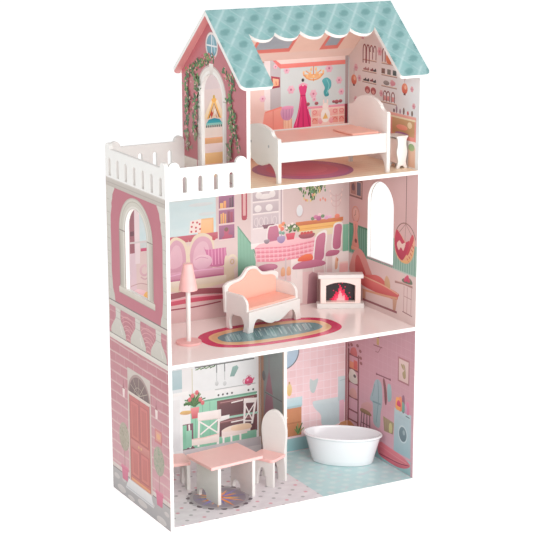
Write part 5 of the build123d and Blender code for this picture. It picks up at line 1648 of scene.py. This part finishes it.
white_paint = painted("white_paint", (235, 230, 226))
# The bed's white is lighter than white_paint on its sides and darker on its forward faces: painted light on
# the sides, painted shade on the front.
bed_paint_shaded_front = painted("bed_paint_shaded_front", (248, 243, 238), front=(208, 202, 197))
coral_paint = painted("coral_paint", (252, 188, 170), rough=0.42)
pink_paint = painted("pink_paint", (255, 200, 194), rough=0.3)
pale_pink_paint = painted("pale_pink_paint", (254, 232, 224))
lamp_pink = painted("lamp_pink_paint", (248, 190, 186), rough=0.4)
soot = painted("soot_black", (40, 30, 34), rough=0.55)
steel, dowel = metal("zinc_steel"), beech("beech_dowel")
tub_paint = Paint("tub_plastic", Roughness=0.14, Coat_Weight=0.5, Coat_Roughness=0.06)
tub_paint.bump(tub_paint.noise(90.0, 1.0), 0.04, 0.0003)
tub_plastic = tub_paint.done(tub_paint.mottle((246, 246, 248), 0.01, 20.0))

for name in ("floor_dowels", "railing_dowels", "roof_dowels"):
    dress(name, dowel)
for name in ("cam_bolts", "cam_discs", "bed_screws"):
    dress(name, steel)


# Edges sharper than SHARP are rounded; facets closer than FLAT are joined.
SHARP, FLAT, SAME_PLACE = math.radians(32), math.radians(0.6), 1e-6


def round_edges(piece, width):
    bevel = piece.modifiers.new("soft_edges", "BEVEL")
    bevel.width = width
    bevel.segments = 3
    bevel.limit_method = "ANGLE"
    bevel.angle_limit = SHARP
    bevel.use_clamp_overlap = True
    bevel.harden_normals = True
    even = piece.modifiers.new("even_normals", "WEIGHTED_NORMAL")
    even.keep_sharp = True


def soften(node, body, width, material):
    """A copy of a CAD node's shape with rounded, rubbed edges, which stands for the node."""
    build = bmesh.new()
    build.from_mesh(nodes[node].data)
    bmesh.ops.remove_doubles(build, verts=build.verts, dist=SAME_PLACE)
    bmesh.ops.dissolve_limit(build, angle_limit=FLAT, verts=build.verts, edges=build.edges)
    for face in build.faces:
        face.smooth = True
    mesh = bpy.data.meshes.new(node + "_soft")
    build.to_mesh(mesh)
    build.free()
    piece = new_piece(node + "_soft", mesh, material)
    round_edges(piece, width * MM)
    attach(piece, body)
    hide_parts(node)
    return piece


WHITE_PAINTED = {
    "bed": ("bed_footboard", "bed_headboard", "bed_front_rail", "bed_back_rail"),
    "nightstand": ("nightstand_near_side", "nightstand_far_side", "nightstand_back", "nightstand_top"),
    "sofa": ("sofa_back", "sofa_left_arm", "sofa_right_arm", "sofa_apron", "sofa_seat"),
    "lamp": ("lamp_post",),
    "fireplace": ("fireplace_base", "fireplace_mantel"),
    "table": ("table_left_leg", "table_right_leg"),
    "chair_right": ("chair_right_back", "chair_right_legs"),
    "chair_left": ("chair_left_back", "chair_left_legs"),
}
for body, names in WHITE_PAINTED.items():
    for name in names:
        soften(name, body, 0.9, bed_paint_shaded_front if body == "bed" else white_paint)

for name, body, width in (("bed_mattress", "bed", 1.6), ("bed_pillow", "pillow", 3.2),
                          ("sofa_back_pad", "sofa", 1.4), ("sofa_seat_pad", "sofa", 1.8)):
    soften(name, body, width, coral_paint)
soften("nightstand_drawer_front", "nightstand", 0.8, pale_pink_paint)
for name, body, material in (
    ("table_top", "table", pink_paint), ("chair_right_seat", "chair_right", pink_paint),
    ("chair_left_seat", "chair_left", pink_paint), ("lamp_base", "lamp", lamp_pink),
    ("lamp_shade", "lamp", lamp_pink), ("fireplace_surround", "fireplace", pale_pink_paint),
):
    soften(name, body, 0.9, material)
dress("fireplace_fire", soot)


def middle_of(node):
    low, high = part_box(node)
    return Vector(((low.x + high.x) / 2, (low.y + high.y) / 2, low.z))


# How far the pieces that stand at an angle are turned, in degrees.
TUB_TURN, FIREPLACE_TURN = -40, -26


def bathtub():
    """An oval tub with a rolled rim, lofted from rings of (height, half length, half width)."""
    centre, turn = middle_of("bathtub"), math.radians(TUB_TURN)
    rings = (
        (0.0, 66, 34), (0.6, 68.4, 36.8), (2.4, 70, 38.5), (14, 72.6, 40), (26, 75.9, 41.9),
        (38, 79.4, 43.8), (50, 82.8, 45.7), (60, 85.6, 47.3), (62.6, 86.6, 47.9), (63.6, 88.6, 49.4),
        (64.6, 90.2, 50.8), (66.0, 91.0, 51.5), (67.4, 90.6, 51.2), (68.6, 89.2, 49.9), (69.0, 87.6, 48.3),
        (68.6, 86.0, 46.8), (67.2, 84.9, 45.8), (64, 84.0, 45.0), (52, 80.0, 42.6), (38, 75.4, 39.8),
        (24, 70.6, 36.8), (14, 66.6, 34.4), (8.5, 62.8, 31.8), (6.2, 57.0, 28.0), (5.2, 46, 21),
    )
    count = 96
    build = bmesh.new()
    loops = []
    for z, half_length, half_width in rings:
        loop = []
        for k in range(count):
            a = ROUND * k / count
            spot = Vector((half_length * math.cos(a), half_width * math.sin(a), z)) * MM
            loop.append(build.verts.new(centre + Matrix.Rotation(turn, 3, "Z") @ spot))
        loops.append(loop)
    for lower, upper in zip(loops, loops[1:]):
        for k in range(count):
            n = (k + 1) % count
            build.faces.new((lower[k], lower[n], upper[n], upper[k]))
    build.faces.new(loops[0][::-1])
    build.faces.new(loops[-1])
    for face in build.faces:
        face.smooth = len(face.verts) == 4
    mesh = bpy.data.meshes.new("bathtub_shell")
    build.to_mesh(mesh)
    build.free()
    piece = new_piece("bathtub_shell", mesh, tub_plastic)
    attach(piece, "bathtub")
    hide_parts("bathtub")


bathtub()


def fire_picture():
    """Blocky flames on the firebox's back."""
    turn = Matrix.Rotation(math.radians(FIREPLACE_TURN), 3, "Z")
    face = middle_of("fireplace_base") + turn @ Vector((0, 6 * MM, 0))
    page = Print("fire_picture", face, turn @ X, Z, turn @ -Y, "fire_print")
    red, rose, glow = (236, 22, 84), (248, 92, 128), (254, 206, 206)
    heights = (20, 24, 29, 35, 33, 42, 50, 45, 38, 40, 30, 26, 21)
    for k, height in enumerate(heights):
        u = -19.5 + k * 3
        page.rect(u, 14.2, u + 3, height, red, (230, 18, 72))
        if 1 < k < 11:
            page.rect(u, 14.2, u + 3, height - 8, rose, (244, 56, 100))
        if 3 < k < 10:
            page.rect(u, 14.2, u + 3, height - 14, glow, (252, 160, 170))
    for u, v in ((-23, 16), (-16, 36), (10, 44), (-4, 50), (20, 30), (22, 20), (4, 53)):
        page.rect(u, v, u + 2.4, v + 2.4, red)
    piece = page.done()
    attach(piece, "fireplace")


fire_picture()

# ---------------------------------------------------------------- stage, camera, light

PURE_WHITE = (1.0, 1.0, 1.0, 1.0)
FLOOR_REACH, FLOOR_DROP = 30.0, 0.0004
floor_mesh = bpy.data.meshes.new("stage_floor")
corners = ((-1, -1), (1, -1), (1, 1), (-1, 1))
floor_mesh.from_pydata(
    [(x * FLOOR_REACH, y * FLOOR_REACH, -FLOOR_DROP) for x, y in corners], [], [(0, 1, 2, 3)],
)
floor_paint = Paint("stage_floor", Roughness=0.7)
floor_paint.shader.inputs["Emission Color"].default_value = PURE_WHITE
floor_paint.shader.inputs["Emission Strength"].default_value = 0.5
floor_look = floor_paint.done(floor_paint.mottle((250, 250, 250), 0.005, 2.0))
new_piece("stage_floor", floor_mesh, floor_look)

# The photo's viewpoint, fitted to its corners.
CAMERA_PLACE = (-1.69864, -3.10396, 1.36393)
CAMERA_TURN = (28.689, 13.823, -0.150)
camera_data = bpy.data.cameras.new("camera")
camera_data.lens, camera_data.sensor_width, camera_data.clip_end = 115.07, 36.0, 100.0
camera = link(bpy.data.objects.new("camera", camera_data))
camera.location = CAMERA_PLACE
yaw, pitch, roll = (math.radians(angle) for angle in CAMERA_TURN)
forward = Vector((math.sin(yaw) * math.cos(pitch), math.cos(yaw) * math.cos(pitch), -math.sin(pitch)))
level = Vector((math.cos(yaw), -math.sin(yaw), 0))
upward = level.cross(forward)
side = level * math.cos(roll) + upward * math.sin(roll)
upward = side.cross(forward)
camera.rotation_mode = "QUATERNION"
camera.rotation_quaternion = Matrix((side, upward, -forward)).transposed().to_quaternion()
bpy.context.scene.camera = camera


def soft_box(name, place, aim, size, power):
    lamp = bpy.data.lights.new(name, "AREA")
    lamp.shape = "RECTANGLE"
    lamp.size, lamp.size_y = size
    lamp.energy = power
    holder = link(bpy.data.objects.new(name, lamp))
    holder.location = place
    holder.rotation_mode = "QUATERNION"
    holder.rotation_quaternion = (Vector(aim) - Vector(place)).to_track_quat("-Z", "Y")


# name, place, what it points at, size, watts
for light in (
    ("key_light", (-0.7, -4.0, 2.2), (0.05, 0, 0.62), (3.0, 2.0), 74),
    ("low_light", (0.9, -3.4, 0.25), (0.1, 0, 0.75), (2.6, 0.5), 26),
    ("attic_light", (0.35, -2.6, 2.0), (0.1, 0, 0.72), (1.4, 0.7), 11),
    ("left_light", (-3.4, -0.6, 1.4), (0, 0, 0.6), (2.0, 2.0), 5),
):
    soft_box(*light)

world = bpy.data.worlds.new("studio")
world.use_nodes = True
sky = world.node_tree.nodes["Background"]
sky.inputs["Color"].default_value = PURE_WHITE
sky.inputs["Strength"].default_value = 0.6
backdrop = world.node_tree.nodes.new("ShaderNodeBackground")
backdrop.inputs["Color"].default_value = PURE_WHITE
chooser = world.node_tree.nodes.new("ShaderNodeMixShader")
rays = world.node_tree.nodes.new("ShaderNodeLightPath")
links = world.node_tree.links
links.new(rays.outputs["Is Camera Ray"], chooser.inputs[0])
links.new(sky.outputs[0], chooser.inputs[1])
links.new(backdrop.outputs[0], chooser.inputs[2])
links.new(chooser.outputs[0], world.node_tree.nodes["World Output"].inputs[0])
bpy.context.scene.world = world
bpy.context.scene.view_settings.view_transform = "Standard"
